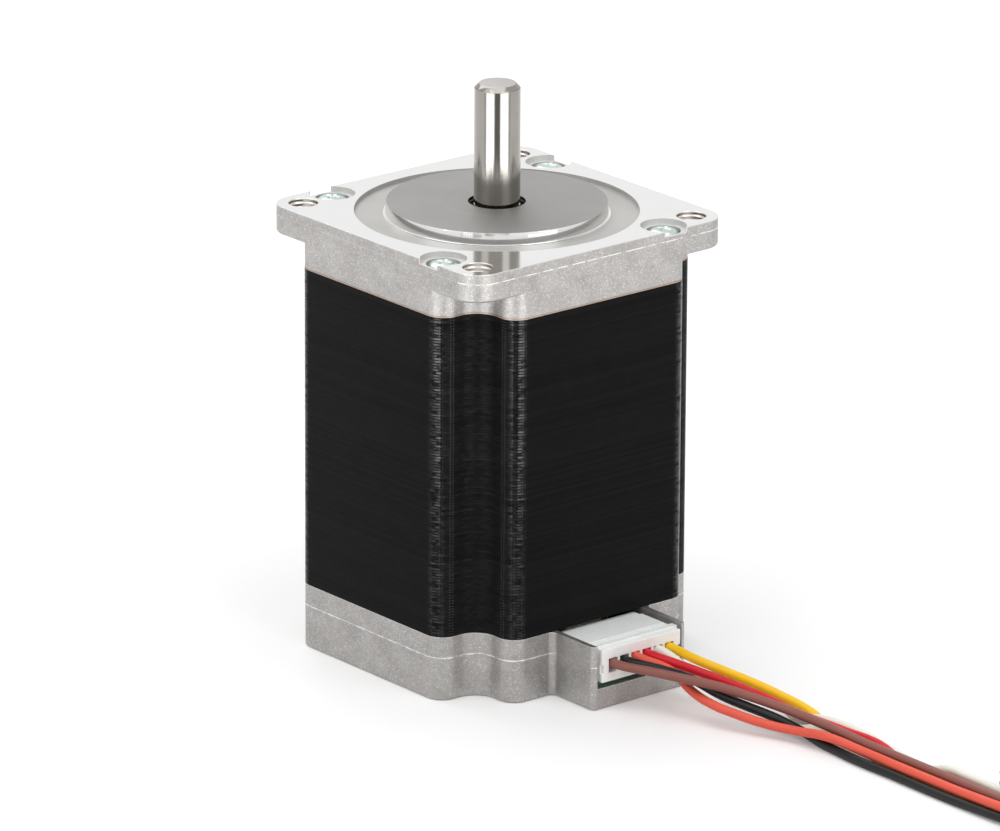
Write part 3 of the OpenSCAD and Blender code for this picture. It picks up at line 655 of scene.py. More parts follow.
def moulded(name, colour, rough=0.4, clear=0.0, depth=0.6):
    """Moulded plastic: faint texture of the mould, sink marks and handling; clear lets light in, to depth in mm."""
    n = new_material(name, colour)
    texture, sink = n.noise(5200.0), n.noise(240.0)
    base = n.vary(n.span(sink, 0.3, 0.7), colour, 0.94, 1.03)
    base = n.tint(base, dusty(n, 420.0, 0.6), 0.15, colour, 0.8)
    base = n.tint(base, worn(n, 0.2, 4.0), 0.25, [min(1, c * 1.15 + 0.02) for c in colour])
    light = {"Subsurface_Weight": clear, "Subsurface_Radius": (1.0, 1.0, 0.9), "Subsurface_Scale": depth * MM}
    return n.surface(base, n.rough(texture, rough - 0.06, rough + 0.08),
                     (n.plus(texture, n.times(sink, 1.5)), 0.15, 0.01), 0.0, **(light if clear else {}))


def insulation(name, colour):
    """PVC insulation: soft gloss, a faint drawn texture and dull rubbed places."""
    n = new_material(f"Insulation {name}", colour)
    streaks = streaked(n, "Along x", 1500.0, 150.0)
    dust = dusty(n, 330.0, 0.6)
    base = n.tint(n.vary(streaks, colour, 0.93, 1.05), dust, 0.2, [c * 0.8 + 0.06 for c in colour])
    return n.surface(base, n.plus(n.rough(streaks, 0.36, 0.46), n.times(dust, 0.1)), (streaks, 0.2, 0.02), 0.0,
                     Specular_IOR_Level=0.3)


def enamelled_copper():
    """Enamelled wire of a winding, lying in rows along the stack, with painted shade and highlight across each row.
    """
    n = new_material("Enamelled copper", (0.7, 0.25, 0.08))
    x, y, _ = n.axes()
    row = n.math("SINE", n.times(n.plus(x, y), 2 * pi / (0.5 * MM)))
    noise = n.noise(900.0)
    # Painted shade and highlight: each row is dark in its groove and light on its raised crown
    base = n.blend(n.span(row, -1.0, 1.0), rgb((0.3, 0.08, 0.02)), rgb((0.8, 0.32, 0.1)))
    base = n.tint(base, noise, 0.3, (0.55, 0.2, 0.05))
    return n.surface(base, n.rough(noise, 0.25, 0.4), (row, 0.6, 0.08), 0.8, Coat_Weight=0.5)


def board_material():
    """Solder mask over a woven board."""
    n = new_material("Solder mask", (0.01, 0.09, 0.04))
    weave = n("TexWave", Vector=n.place(), Scale=320.0, Distortion=1.0).outputs[1]
    noise = n.noise(500.0)
    base = n.blend(n.times(weave, 0.35), rgb((0.008, 0.07, 0.03)), rgb((0.02, 0.14, 0.06)))
    base = n.tint(base, noise, 0.3, (0.01, 0.1, 0.05))
    return n.surface(base, n.rough(noise, 0.28, 0.4), (weave, 0.1, 0.01), 0.0, Coat_Weight=0.3)


BUILDERS = {
    "cast": cast_aluminium,
    "milled": milled_aluminium,
    "turned": lambda: turned_aluminium("Turned aluminium", colours().turned, 0.42, 0.55),
    "ring": lambda: turned_aluminium("Turned recess", colours().ring, 0.38, 0.5),
    "bright": bright_aluminium,
    "pocket": lambda: turned_aluminium("Milled pocket", (0.6, 0.595, 0.585), 0.5, 0.65),
    "drilled": lambda: drilled_aluminium("Drilled aluminium", (0.5, 0.45, 0.41), (0.9, 0.88, 0.85)),
    # Painted shade: the bore's two colours are near black, so the shaft's hole and the bearing's seat look shadowed
    "bore": lambda: drilled_aluminium("Bore painted dark as shade", (0.05, 0.045, 0.04), (0.12, 0.11, 0.1)),
    "stack": stack_black,
    "shaft": ground_steel,
    "zinc": zinc_plate,
    "header": lambda: moulded("Header nylon", colours().header, 0.3, 0.25, 0.8),
    "plug": lambda: moulded("Plug nylon", colours().plug, 0.36, 0.2, 0.4),
    "strap": lambda: moulded("Strap nylon", (0.015, 0.015, 0.016), 0.42),
    "cap": lambda: moulded("End cap nylon", (0.75, 0.72, 0.6), 0.45, 0.15),
    "cage": lambda: moulded("Cage nylon", (0.6, 0.42, 0.2), 0.4, 0.1),
    "magnet": lambda: moulded("Sintered magnet", (0.06, 0.06, 0.065), 0.5),
    "copper": enamelled_copper,
    "electrical": lambda: plain_metal("Electrical steel", (0.32, 0.33, 0.35), 0.42, "Along x", 0.3, 4000.0),
    "bearing": lambda: plain_metal("Bearing steel", (0.7, 0.7, 0.71), 0.16, "Round z", 0.06),
    "spring": lambda: plain_metal("Spring steel", (0.5, 0.51, 0.54), 0.3, "Along x", 0.15),
    "brass": lambda: plain_metal("Brass shim", (0.75, 0.55, 0.25), 0.3, "Along x", 0.12),
    "tin": lambda: plain_metal("Tinned brass", (0.72, 0.7, 0.66), 0.3, "Along x", 0.2),
    "solder": lambda: plain_metal("Tinned wire", (0.66, 0.66, 0.68), 0.28, "Along x", 0.4, 5000.0),
    "board": board_material,
}
INNER = {
    "front_insulator": "cap", "rear_insulator": "cap", "phase_a_coils": "copper", "phase_b_coils": "copper",
    "rotor_cup_front": "electrical", "rotor_cup_rear": "electrical", "rotor_magnet": "magnet",
    "front_shim": "brass", "rear_shim": "brass", "wave_spring": "spring",
    "front_outer_race": "bearing", "front_inner_race": "bearing", "front_balls": "bearing",
    "front_cage": "cage", "front_shields": "bearing", "rear_outer_race": "bearing",
    "rear_inner_race": "bearing", "rear_balls": "bearing", "rear_cage": "cage", "rear_shields": "bearing",
    "circuit_board": "board", "header_pins": "tin", "plug_contacts": "tin", "tinned_ends": "solder",
    "stator_stack": "electrical",
}


# ---------------------------------------------------------------- sizes and colours

def length_property(name, text, value):
    """A length given in mm."""
    return FloatProperty(name=name, description=text, default=value * MM, min=0, unit="LENGTH", precision=5)


def colour_property(name, text, value):
    """A colour of three parts from 0 to 1."""
    return FloatVectorProperty(name=name, description=text, default=value, size=3, subtype="COLOR", min=0, max=1)


class MotorSizes(PropertyGroup):
    cast_edge: length_property("Cast edge", "Radius of an edge that is left as cast", 0.45)
    cut_edge: length_property("Cut edge", "Radius of an edge that a tool has cut", 0.1)
    flash: length_property("Flash", "Height of the line that the two halves of the die leave", 0.09)
    lamination: length_property("Lamination", "Thickness of one lamination of the stack", 0.5)
    groove: length_property("Groove", "Depth of the joint between two laminations", 0.025)
    lead: length_property("Lead", "Diameter of a lead over its insulation", LEAD_D)
    facets: IntProperty(name="Facets", description="Steps round the pilot", default=160, min=32)


class MotorColours(PropertyGroup):
    cast: colour_property("Cast", "Aluminium as it comes from the die", (0.41, 0.4, 0.39))
    milled: colour_property("Milled", "Aluminium where it is milled", (0.82, 0.82, 0.815))
    turned: colour_property("Turned", "Aluminium of the pilot's face", (0.3, 0.295, 0.286))
    ring: colour_property("Recess", "Aluminium of the ring round the pilot and of the pockets", (0.45, 0.443, 0.43))
    stack: colour_property("Stack", "Varnish on the laminated stack", (0.0085, 0.0085, 0.0088))
    shaft: colour_property("Shaft", "Ground steel of the shaft", (0.28, 0.266, 0.247))
    zinc: colour_property("Zinc", "Zinc plate of the screws", (0.52, 0.6, 0.6))
    header: colour_property("Header", "Plastic of the header", (0.94, 0.975, 0.95))
    plug: colour_property("Plug", "Plastic of the plug", (0.96, 0.955, 0.94))
    brown: colour_property("Brown", "Insulation of the brown lead", (0.25, 0.09, 0.07))
    black: colour_property("Black", "Insulation of the black lead", (0.006, 0.006, 0.0065))
    orange: colour_property("Orange", "Insulation of the orange lead", (0.75, 0.1, 0.06))
    red: colour_property("Red", "Insulation of the red lead", (0.62, 0.006, 0.018))
    white: colour_property("White", "Insulation of the white lead", (0.82, 0.8, 0.72))
    yellow: colour_property("Yellow", "Insulation of the yellow lead", (0.92, 0.55, 0.008))


def sizes():
    """The sizes that a user may change, in metres."""
    return bpy.context.scene.motor_sizes


def colours():
    """The colours that a user may change."""
    return bpy.context.scene.motor_colours


# ---------------------------------------------------------------- stage

# The photograph's view: angles in degrees, distances in millimetres, focal length on a 36 mm wide frame
VIEW = {"turn": 50.478, "rise": 18.452, "roll": 0.306, "distance": 1452.2, "focal": 305.7, "right": 0.534,
        "up": -35.32, "target_z": 78}
FRAME_W = 36


def camera_matrix():
    """The camera's place: it looks at the flange face's middle, moved a little right and down."""
    a, e, roll = (radians(VIEW[key]) for key in ("turn", "rise", "roll"))
    back = Vector((sin(a) * cos(e), -cos(a) * cos(e), sin(e)))
    level = Vector((cos(a), sin(a), 0))
    raised = back.cross(level)
    right = level * cos(roll) + raised * sin(roll)
    up = raised * cos(roll) - level * sin(roll)
    place = (Vector((0, 0, VIEW["target_z"])) + back * VIEW["distance"] + right * VIEW["right"]
             + up * VIEW["up"]) * MM
    turn = Matrix((right, up, back)).transposed().to_4x4()
    return Matrix.Translation(place) @ turn


def around(turn, rise, distance, target):
    """A place round the motor's axis, and the rotation that points -Z from there to the height target."""
    a, e = radians(turn), radians(rise)
    away = Vector((cos(a) * cos(e), sin(a) * cos(e), sin(e))) * distance * MM
    return away + Vector((0, 0, target * MM)), (-away).to_track_quat("-Z", "Y").to_euler()


def shows_background(n):
    """1 on a ray from the camera, from a mirroring surface or through a clear one."""
    path = n("LightPath").outputs
    return n.math("MAXIMUM", n.math("MAXIMUM", path["Is Camera Ray"], path["Is Glossy Ray"]),
                  path["Is Transmission Ray"])


class MOTOR_OT_stage(Operator):
    """Camera, floor, soft lights and a white surrounding"""
    bl_idname = "motor.stage"
    bl_label = "Stage"

    # Name, turn and rise from the target in degrees, distance and size in mm, power in watts, height of the target
    LIGHTS = (("Key", -100, 40, 900, (620, 900), 1.6, 50), ("Fill", 8, 34, 900, (560, 900), 2.0, 50),
              ("Top", -40, 84, 1000, (900, 900), 3.4, 50), ("Back", 178, 52, 1000, (700, 700), 2.6, 50))
    # Two strips beside the viewer, low in front of the table, which only light what mirrors them: name, turn from
    # the viewer's side, width and power; then the grey card between them, and the rise, distance, height and target
    # height of all three
    STRIPS = (("Left strip", -35.5, 560, 1.9), ("Right strip", 35.5, 560, 1.9))
    CARD = (330, 420)
    CARD_TONE = 0.3
    CARD_NEARER = 0.95
    LOW = (-18.4, 800, 300, 90)
    AMBIENT = 0.62
    # Side of the floor in metres, and how far it reaches in front of the motor in mm
    FLOOR = 8
    TABLE_FRONT = 130
    # Light of the paper itself near the motor and far from it, these two distances, and the end of the view in metres
    FLOOR_GLOW = (0.15, 0.55)
    GLOW_AT = (120, 500)
    CLIP_END = 20

    def execute(self, context):
        clear_selection()
        bpy.ops.object.camera_add()
        camera = context.object
        camera.name = "Camera"
        camera.matrix_world = camera_matrix()
        camera.data.sensor_fit, camera.data.sensor_width = "HORIZONTAL", FRAME_W
        camera.data.lens, camera.data.clip_end = VIEW["focal"], self.CLIP_END
        context.scene.camera = camera
        for light in self.LIGHTS:
            self.lamp(context, *light)
        front = VIEW["turn"] - 90
        rise, distance, height, target = self.LOW
        for name, turn, width, power in self.STRIPS:
            strip = self.lamp(context, name, front + turn, rise, distance, (width, height), power, target)
            strip.visible_diffuse = strip.visible_camera = False
        place, rotation = around(front, rise, distance * self.CARD_NEARER, target)
        card = self.sheet(context, "Card", self.card_material(), size=1, location=place, rotation=rotation)
        bpy.ops.transform.resize(value=(self.CARD[0] * MM, self.CARD[1] * MM, 1), orient_type="LOCAL")
        card.visible_camera = card.visible_diffuse = card.visible_shadow = False
        a = radians(VIEW["turn"])
        set_back = self.FLOOR / 2 - self.TABLE_FRONT * MM
        self.sheet(context, "Floor", self.floor_material(), size=self.FLOOR,
                   location=(-sin(a) * set_back, cos(a) * set_back, 0), rotation=(0, 0, a))
        self.surround(context)
        context.scene.view_settings.view_transform = "Standard"
        return {"FINISHED"}

    @staticmethod
    def lamp(context, name, turn, rise, distance, size, power, target):
        """A rectangular lamp that shines at the shaft's line."""
        place, rotation = around(turn, rise, distance, target)
        bpy.ops.object.light_add(type="AREA", location=place, rotation=rotation)
        light = context.object
        light.name = f"{name} light"
        light.data.shape, light.data.size, light.data.size_y = "RECTANGLE", size[0] * MM, size[1] * MM
        light.data.energy = power
        return light

    @staticmethod
    def sheet(context, name, finish, **place):
        """A plane that belongs to the stage."""
        bpy.ops.mesh.primitive_plane_add(**place)
        plane = context.object
        plane.name = name
        plane.data.materials.append(finish)
        return plane

    def card_material(self):
        """Grey that is the same whatever light falls on it."""
        dark = (0.02, 0.02, 0.02)
        n = new_material("Card", dark)
        n.fill(n.tree.nodes["Principled BSDF"], Base_Color=rgb(dark), Roughness=1.0,
               Emission_Color=rgb([self.CARD_TONE] * 3), Emission_Strength=1.0)
        return n.owner

    def floor_material(self):
        """White paper: the light on it, with its shadows, and enough of its own to look white."""
        n = new_material("Floor", (0.8, 0.8, 0.8))
        paper = n.blend(n.noise(900.0), rgb((0.79, 0.785, 0.785)), rgb((0.81, 0.805, 0.805)))
        away = n("VectorMath", {"operation": "LENGTH"}, _0=n("NewGeometry").outputs["Position"]).outputs["Value"]
        own = n.span(away, *(at * MM for at in self.GLOW_AT), *self.FLOOR_GLOW)
        n.fill(n.tree.nodes["Principled BSDF"], Base_Color=paper, Roughness=0.55, Specular_IOR_Level=0.25,
               Emission_Color=rgb((1, 1, 1)), Emission_Strength=n.times(shows_background(n), own))
        return n.owner

    def surround(self, context):
        """White wherever the surroundings are seen, also in metal or through glass, and even light on the motor."""
        world = bpy.data.worlds.new("Surround")
        context.scene.world = world
        world.use_nodes = True
        n = Nodes(world.node_tree)
        n.fill(world.node_tree.nodes["Background"],
               Color=n.blend(shows_background(n), rgb([self.AMBIENT] * 3), rgb((1, 1, 1))))


# ---------------------------------------------------------------- pieces

def coil_point(turns, side, row):
    """A point of the coiled leads after so many turns: spiralling in, up a layer and out again."""
    # The turn at which the coil is narrowest, how round it is there, and the turns over which it climbs a layer
    inmost, soft, climb, climbed = 1.25, 0.12, 1, 0.5
    r = COIL_R + COIL_PITCH * (sqrt((turns - inmost) ** 2 + soft ** 2) - soft) + side * COIL_SIDE
    a = coil_turn(turns)
    k = min(1, max(0, (turns - climb) / climbed))
    return (COIL_AT[0] + r * cos(a), COIL_AT[1] + r * sin(a),
            COIL_Z + row * COIL_LAYER / 2 + COIL_LAYER * k * k * (3 - 2 * k))


def coil_turn(turns):
    """Angle round the coil's middle after so many turns."""
    return 2 * pi * (turns - 0.25)


def lead_points(yz, side, row, turns):
    """Points of one lead in mm: its route, a short straight, its coil and its tail."""
    points = [(x / MM, y / MM, z / MM) for x, (y, z) in zip(ROUTE_X, yz)]
    points.append((points[-1][0] + LEAD_STRAIGHT, *points[-1][1:]))
    points += [coil_point(i / COIL_STEPS, side, row) for i in range(round(turns * COIL_STEPS) + 1)]
    a = coil_turn(turns)
    x, y, z = points[-1]
    points.append((x - TAIL * sin(a), y + TAIL * cos(a), z))
    return points


class MOTOR_OT_leads(Operator):
    """Six leads, each one curve from its contact to the end of its coil"""
    bl_idname = "motor.leads"
    bl_label = "Leads"

    # Share of its diameter below which a lead's middle lies on the table, so that its handles stay level
    LYING = 0.55

    def execute(self, context):
        for name, (yz, side, row, turns) in LEADS.items():
            clear_selection()
            bpy.ops.curve.primitive_bezier_curve_add()
            lead = context.object
            lead.name = f"wire_{name}"
            spline = lead.data.splines[0]
            points = lead_points(yz, side, row, turns)
            spline.bezier_points.add(len(points) - len(spline.bezier_points))
            for knot, point in zip(spline.bezier_points, points):
                knot.co = [c * MM for c in point]
                knot.handle_left_type = knot.handle_right_type = "AUTO"
            for knot in spline.bezier_points:
                if knot.co.z < self.LYING * sizes().lead:
                    knot.handle_left_type = knot.handle_right_type = "ALIGNED"
                    knot.handle_left.z = knot.handle_right.z = knot.co.z
            lead.data.bevel_depth = sizes().lead / 2
            lead.data.bevel_resolution, lead.data.resolution_u = 4, 6
            lead.data.use_fill_caps = True
            settle(lead, "plug", [insulation(name, getattr(colours(), name))],
                   [f"lead_{name}", f"coil_{name}"])
        return {"FINISHED"}


class MOTOR_OT_front_cover(Operator):
    """Front cover: lobed skirt, square flange, turned pilot, holes and screw pockets"""
    bl_idname = "motor.front_cover"
    bl_label = "Front Cover"

    FINISHES = ("cast", "milled", "turned", "bright", "drilled", "ring", "bore", "pocket")
    # How far a shape reaches into the one that it joins, or a cut past the face that it opens
    SUNK, PAST = 0.5, 1
    CAVITY_Z, SEAT_EDGE_Z, SEAT_Z = 74.6, 69.6, 77.2
    # Profile of the pilot's wall, with the draft above its ledge, and the fine line turned into its face
    WALL = ((PILOT_R, 77.5), (19.2, 77.5), (19.1, 78.3), (18.98, PILOT_Z))
    LINE = ((9.06, PILOT_Z), (9.03, PILOT_Z - 0.025), (9.0, PILOT_Z))
    # Play that lets a face be found by its radius and height, the radius from which the wall is bright and within
    # which it gets painted shade, and the one within which the bearing's seat gets painted shade
    PLAY, BRIGHT_R, DARK_R = 0.15, 12, 11.5

    def execute(self, context):
        cover = trace("front_cover_casting", (HALF, 0), STACK_TOP, LOBED_PLAN)
        extrude(0, 0, FLANGE_Z - STACK_TOP + self.SUNK)
        merge_and_face_out()
        edge = HALF - CORNER_R
        flange = trace("flange", (HALF, 0), FLANGE_Z, all_round(((HALF, edge), (edge, edge, 90), (0, HALF))), 12)
        flash = 1 + sizes().flash / MM / HALF / 2
        raise_outline(((FRONT_LINE, 1), (0.08, flash), (0.08, 1 / flash), (1.62, 1)))
        merge_and_face_out()
        round_edges(flange, lambda x, y, z: z < FLANGE_Z + 0.1, sizes().cast_edge / MM)
        combine(cover, flange, "UNION")
        tidy_mesh(cover)
        combine(cover, rod("ring", RING_R, RING_Z, FACE_Z + self.PAST, sizes().facets))
        foot = FACE_Z - 2
        pilot = lathe("pilot", [(0, foot), (PILOT_R, foot), *self.WALL, *self.LINE, (0, PILOT_Z)], sizes().facets)
        combine(cover, pilot, "UNION")
        low, high = STACK_TOP - 1.5, PILOT_Z + self.PAST
        inside = lathe("inside", [(0, low), (CAVITY_R, low), (CAVITY_R, self.CAVITY_Z), (SEAT_WALL_R, self.CAVITY_Z),
                                  (SEAT_WALL_R, self.SEAT_EDGE_Z), (SEAT_R, self.SEAT_EDGE_Z), (SEAT_R, self.SEAT_Z),
                                  (SHAFT_HOLE_R, self.SEAT_Z), (SHAFT_HOLE_R, high), (0, high)], ROUND)
        combine(cover, inside)
        top = FACE_Z + self.PAST
        holes = [rod("hole", HOLE_R, FLANGE_Z - self.PAST, top, 40, at) for at in four_ways(HOLE_AT, HOLE_AT)]
        pocket = [(0, low), (SCREW_R + 0.15, low), (SCREW_R + 0.15, HEAD_Z), (HEAD_R, HEAD_Z), (HEAD_R, POCKET_Z),
                  (POCKET_R, POCKET_Z), (POCKET_R, top), (0, top)]
        pockets = [lathe("pocket", pocket, 40, at) for at in four_ways(LOBE_AT, -LOBE_OUT)]
        combine(cover, join(holes + pockets))
        tidy_mesh(cover)
        smooth(cover, sizes().cut_edge / MM)
        settle(cover, "frame", [material(key) for key in self.FINISHES], ["front_cover"],
               lambda corners, normal: self.FINISHES.index(self.finish_of(corners, normal)))
        return {"FINISHED"}

    def finish_of(self, corners, normal):
        """Finish of a face, by where its corners are."""
        radii = [hypot(c.x, c.y) for c in corners]
        near, far, low = min(radii), max(radii), min(c.z for c in corners)
        if low > RING_Z - 0.1:
            if far < PILOT_R + 0.12:
                if normal.z > 0.5 and low > PILOT_Z - 0.11:
                    return "turned"
                # Inside the pilot's hole the wall gets painted shade
                return "bright" if near > self.BRIGHT_R else "bore"
            if near > PILOT_R - 0.2 and far < RING_R + self.PLAY:
                return "ring"
        if normal.z > 0.9 and low > FACE_Z - 0.11 and near > RING_R - self.PLAY:
            return "milled"
        if low > FLANGE_Z - 0.1 and self.all_within(corners, HOLE_R, four_ways(HOLE_AT, HOLE_AT)):
            return "drilled"
        if low > HEAD_Z - 0.1 and self.all_within(corners, POCKET_R, four_ways(LOBE_AT, -LOBE_OUT)):
            return "pocket"
        # Faces near the shaft's line, the bearing's seat among them, get painted shade
        return "cast" if far > self.DARK_R else "bore"

    def all_within(self, corners, radius, places):
        """Whether every corner is in a hole of this radius at one of the places."""
        return all(any(hypot(c.x - x, c.y - y) < radius + self.PLAY for x, y in places) for c in corners)


class MOTOR_OT_rear_cover(Operator):
    """Rear cover: lobed body with the connector bay"""
    bl_idname = "motor.rear_cover"
    bl_label = "Rear Cover"

    # Thickness of the wall under the hollow and under the sill, and the top of the bearing's seat
    WALL, SILL, SEAT_Z = 2.6, 3.85, 10.4
    BAY_IN, BAY_OUT = 21, 37.7
    SCREW_END, SCREW_PLAY = 0.4, 0.02
    EDGE = 0.12

    def execute(self, context):
        inner = BAY_X - BAY_EDGE
        side = BAY_HALF - BAY_EDGE
        fillet = HALF + BAY_FILLET
        opening = [(BAY_X, side), (inner, side, 90), (fillet, BAY_HALF), (fillet, BAY_HALF + BAY_FILLET, -90)]
        closing = [(HALF, -BAY_HALF - BAY_FILLET), (fillet, -BAY_HALF - BAY_FILLET, -90), (inner, -BAY_HALF),
                   (inner, -side, 90), (BAY_X, 0)]
        cover = trace("rear_cover_casting", (BAY_X, 0), 0, opening + LOBED_PLAN[:-1] + closing)
        flash = 1 + sizes().flash / MM / HALF
        line = 0.09
        raise_outline(((REAR_LINE, 1), (line, flash), (line, 1 / flash), (REAR_TOP - REAR_LINE - 2 * line, 1)))
        merge_and_face_out()
        round_edges(cover, lambda x, y, z: z < 0.1, 0.4)
        top = REAR_TOP + 1
        combine(cover, lathe("inside", [(0, self.WALL), (SEAT_R, self.WALL), (SEAT_R, self.SEAT_Z),
                                        (SEAT_WALL_R, self.SEAT_Z), (SEAT_WALL_R, self.WALL), (CAVITY_R, self.WALL),
                                        (CAVITY_R, top), (0, top)], ROUND))
        side = BAY_HALF - 1
        combine(cover, block("bay", (self.BAY_IN, -side, self.WALL), (self.BAY_OUT, side, top)))
        combine(cover, block("sill", (self.BAY_OUT - 0.7, -side, self.SILL), (BAY_X + 1.1, side, top)))
        combine(cover, join([rod("screw", SCREW_R + self.SCREW_PLAY, self.SCREW_END, REAR_TOP + 0.5, 24, at)
                             for at in four_ways(LOBE_AT, -LOBE_OUT)]))
        tidy_mesh(cover)
        smooth(cover, self.EDGE)
        settle(cover, "frame", [material("cast")], ["rear_cover"])
        return {"FINISHED"}


class MOTOR_OT_stack(Operator):
    """Laminated skin of the stator stack, one lamination repeated up the stack"""
    bl_idname = "motor.stack"
    bl_label = "Stack"

    # How far the skin stands off the solid where it is narrowest
    PROUD = 0.01

    def execute(self, context):
        skin = trace("stack_laminations", (HALF, 0), REAR_TOP, LOBED_PLAN, 8)
        bpy.ops.mesh.delete(type="ONLY_FACE")
        bpy.ops.mesh.select_all(action="SELECT")
        pitch, groove = sizes().lamination / MM, sizes().groove / MM
        step_in = 1 - groove / HALF
        proud = 1 + (groove + self.PROUD) / HALF
        bpy.ops.transform.resize(value=(proud, proud, 1), center_override=(0, 0, 0))
        raise_outline((share * pitch, grow) for share, grow in
                      ((0.06, 1), (0.76, 1), (0.06, 1), (0.04, step_in), (0.04, 1), (0.04, 1 / step_in)))
        clear_selection()
        modify(skin, "ARRAY", use_relative_offset=False, use_constant_offset=True,
               constant_offset_displace=(0, 0, pitch * MM), count=round((STACK_TOP - REAR_TOP) / pitch),
               use_merge_vertices=True, merge_threshold=MERGE)
        bpy.ops.object.mode_set(mode="EDIT")
        merge_and_face_out()
        bpy.ops.mesh.flip_normals()
        pick(skin)
        bpy.ops.object.shade_smooth_by_angle(angle=radians(25))
        settle(skin, "frame", [material("stack")])
        return {"FINISHED"}


class MOTOR_OT_shaft(Operator):
    """Shaft, turned from its profile"""
    bl_idname = "motor.shaft"
    bl_label = "Shaft"

    # Radius and height of the profile's points, from the rear end to the front
    PROFILE = ((0, 3.4), (3.6, 3.4), (4, 3.8), (4, 10.9), (5, 10.9), (5, 69.2), (4, 69.2), (4, 79), (3.8, 79),
               (3.8, PILOT_Z), (4, PILOT_Z), (4, TIP_Z - 0.8), (3.2, TIP_Z), (0, TIP_Z))
    EDGE = 0.05

    def execute(self, context):
        shaft = lathe("output_shaft", self.PROFILE, ROUND)
        smooth(shaft, self.EDGE, 20)
        settle(shaft, "rotor", [material("shaft"), material("ring")], ["shaft"],
               lambda corners, normal: int(normal.z > 0.9 and min(c.z for c in corners) > TIP_Z - 0.06))
        return {"FINISHED"}


class MOTOR_OT_screws(Operator):
    """Four tie screws with a cross recess in a domed head"""
    bl_idname = "motor.screws"
    bl_label = "Tie Screws"

    # Radius and height of the profile's points; half width and half length of the cross, its foot and top, and how
    # much narrower it is at its foot
    PROFILE = ((0, 0.6), (1.2, 0.6), (SCREW_R, 0.9), (SCREW_R, HEAD_Z), (2.6, HEAD_Z), (2.75, 75.45), (2.75, 76.2),
               (2.6, 76.75), (2.3, 77.1), (1.8, 77.34), (1.1, 77.46), (0, 77.5))
    CROSS = (0.36, 1.5, 76.3, 77.8)
    TAPER = 0.45
    CROSS_TURN = 24
    EDGE = 0.06

    def execute(self, context):
        x, y = LOBE_AT, -LOBE_OUT
        screw = lathe("tie_screw_1", self.PROFILE, 40, (x, y))
        narrow, wide, foot, top = self.CROSS
        cross = [self.recess(x, y, w, l, foot, top) for w, l in ((narrow, wide), (wide, narrow))]
        for cutter in cross:
            combine(screw, cutter)
        pick(screw)
        screw.data.transform(Matrix.Translation((x * MM, y * MM, 0))
                             @ Matrix.Rotation(radians(self.CROSS_TURN), 4, "Z")
                             @ Matrix.Translation((-x * MM, -y * MM, 0)))
        tidy_mesh(screw, 0.1)
        smooth(screw, self.EDGE, 32)
        screws = [screw] + [copy_of(screw, f"tie_screw_{i + 1}", Matrix.Rotation(radians(90 * i), 4, "Z"))
                            for i in (1, 2, 3)]
        for piece in screws:
            settle(piece, "frame", [material("zinc")], ["tie_screws"])
        return {"FINISHED"}

    def recess(self, x, y, w, l, foot, top):
        """A cutter for one bar of the cross, narrower at its foot."""
        cutter = block("recess", (x - w, y - l, foot), (x + w, y + l, top))
        edit(cutter)
        shape = bmesh.from_edit_mesh(cutter.data)
        for vertex in shape.verts:
            vertex.select = vertex.co.z < (foot + top) / 2 * MM
        shape.select_flush_mode()
        bmesh.update_edit_mesh(cutter.data)
        bpy.ops.transform.resize(value=(self.TAPER, self.TAPER, 1), center_override=(x * MM, y * MM, 0))
        clear_selection()
        return cutter


class MOTOR_OT_connector(Operator):
    """Header on the circuit board and the plug that closes it"""
    bl_idname = "motor.connector"
    bl_label = "Connector"

    # Low and high corners of the header, its hollow and the steps cut from its top and sides
    HEADER = (27.4, -9.2, 4.85), (37.9, 9.2, 11.0)
    HOLLOW = (29.0, -8.6, 5.45), (38.9, 8.6, 10.4)
    HEADER_STEPS = (((26, -9.6, 10.72), (29.6, 9.6, 12)), ((35.5, -9.6, 10.86), (35.75, 9.6, 12)),
                    ((36.3, -9.6, 10.86), (36.5, 9.6, 12)), ((26, 8.3, 9.3), (36.3, 9.6, 12)))
    # The plug's face and the tongue behind it
    PLUG = (37.95, -8.7, 4.9), (39.3, 8.7, 10.75)
    TONGUE = (30.55, -8.5, 5.55), (38.5, 8.5, 10.3)
    # From x to x, half width, from z to z: each pin's hole, each contact's slot, and a groove at each end of the plug
    PIN_HOLE = (26.4, 30, 0.32, 7.78, 8.42)
    SLOT = (29.5, 40.3, 0.95, 6.45, 8.95)
    GROOVE = (38.6, 40.3, 0.4, 6.45, 8.05)
    CONTACTS = [(i - 2.5) * 2.5 for i in range(6)]
    EDGE = 0.12

    def execute(self, context):
        header = block("header_shell", *self.HEADER)
        combine(header, block("hollow", *self.HOLLOW))
        self.cut_row(header, "pin_hole", self.PIN_HOLE, self.CONTACTS)
        for corners in self.HEADER_STEPS:
            combine(header, block("step", *corners))
        tidy_mesh(header)
        smooth(header, self.EDGE)
        settle(header, "frame", [material("header")], ["header_housing"])
        plug = block("plug_shell", *self.PLUG)
        combine(plug, block("tongue", *self.TONGUE), "UNION")
        self.cut_row(plug, "slot", self.SLOT, self.CONTACTS)
        self.cut_row(plug, "groove", self.GROOVE, (self.PLUG[0][1], self.PLUG[1][1]))
        tidy_mesh(plug)
        smooth(plug, self.EDGE)
        settle(plug, "plug", [material("plug")], ["plug_housing"])
        return {"FINISHED"}

    @staticmethod
    def cut_row(piece, name, size, middles):
        """Cut one box out of a piece for each y in middles."""
        x0, x1, half, z0, z1 = size
        for y in middles:
            combine(piece, block(name, (x0, y - half, z0), (x1, y + half, z1)))


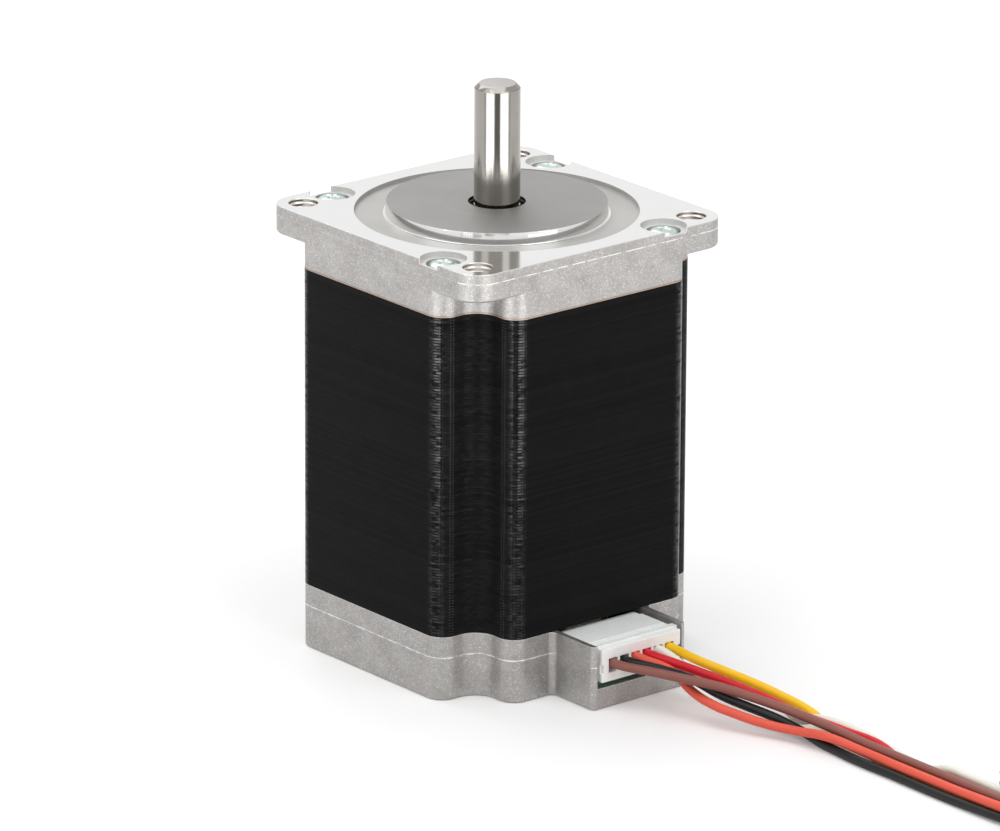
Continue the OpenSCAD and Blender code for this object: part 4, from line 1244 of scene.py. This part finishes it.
class MOTOR_OT_strap(Operator):
    """Strap that holds the coiled leads, with its lock on top"""
    bl_idname = "motor.strap"
    bl_label = "Coil Strap"

    WALL, LOCK, ROUNDING, EDGE = 0.4, 1.6, 0.8, 0.12

    def execute(self, context):
        (x0, y0, z0), (x1, y1, z1) = ([c / MM for c in corner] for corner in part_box("coil_tie"))
        wall, lock = self.WALL, self.LOCK
        middle, top = (x0 + x1) / 2, z1 - lock
        strap = block("coil_strap", (x0, y0, z0), (x1, y1, top))
        round_edges(strap, lambda x, y, z: True, self.ROUNDING, 4)
        combine(strap, block("hollow", (x0 + wall, y0 - 1, z0 + wall), (x1 - wall, y1 + 1, top - wall)))
        combine(strap, block("lock", (middle - lock, y0, top - wall), (middle + lock, y1, z1)), "UNION")
        tidy_mesh(strap)
        smooth(strap, self.EDGE)
        settle(strap, "plug", [material("strap")], ["coil_tie"])
        return {"FINISHED"}


class MOTOR_OT_inner_parts(Operator):
    """Finishes of the CAD solids that keep their own shape"""
    bl_idname = "motor.inner_parts"
    bl_label = "Inner Parts"

    def execute(self, context):
        for name, key in INNER.items():
            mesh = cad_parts[name].data
            mesh.materials.clear()
            mesh.materials.append(material(key))
        return {"FINISHED"}


class MOTOR_PT_panel(Panel):
    """Pieces, sizes and colours of the motor"""
    bl_idname = "MOTOR_PT_panel"
    bl_label = "Stepper Motor"
    bl_space_type = "VIEW_3D"
    bl_region_type = "UI"
    bl_category = "Motor"

    def draw(self, context):
        layout = self.layout
        for step in STEPS:
            layout.operator(step.bl_idname)
        for values in (sizes(), colours()):
            box = layout.box()
            for key in values.__annotations__:
                box.prop(values, key)


STEPS = (MOTOR_OT_stage, MOTOR_OT_leads, MOTOR_OT_front_cover, MOTOR_OT_rear_cover, MOTOR_OT_stack,
         MOTOR_OT_shaft, MOTOR_OT_screws, MOTOR_OT_connector, MOTOR_OT_strap, MOTOR_OT_inner_parts)
CLASSES = (MotorSizes, MotorColours, *STEPS, MOTOR_PT_panel)


def register():
    """Register the classes and give the scene its sizes and colours."""
    for cls in CLASSES:
        bpy.utils.register_class(cls)
    bpy.types.Scene.motor_sizes = PointerProperty(type=MotorSizes)
    bpy.types.Scene.motor_colours = PointerProperty(type=MotorColours)


def unregister():
    """Undo register."""
    del bpy.types.Scene.motor_colours
    del bpy.types.Scene.motor_sizes
    for cls in reversed(CLASSES):
        bpy.utils.unregister_class(cls)


def main():
    """Build everything in order."""
    register()
    for step in STEPS:
        space, name = step.bl_idname.split(".")
        getattr(getattr(bpy.ops, space), name)()
    clear_selection()


if __name__ == "__main__":
    main()
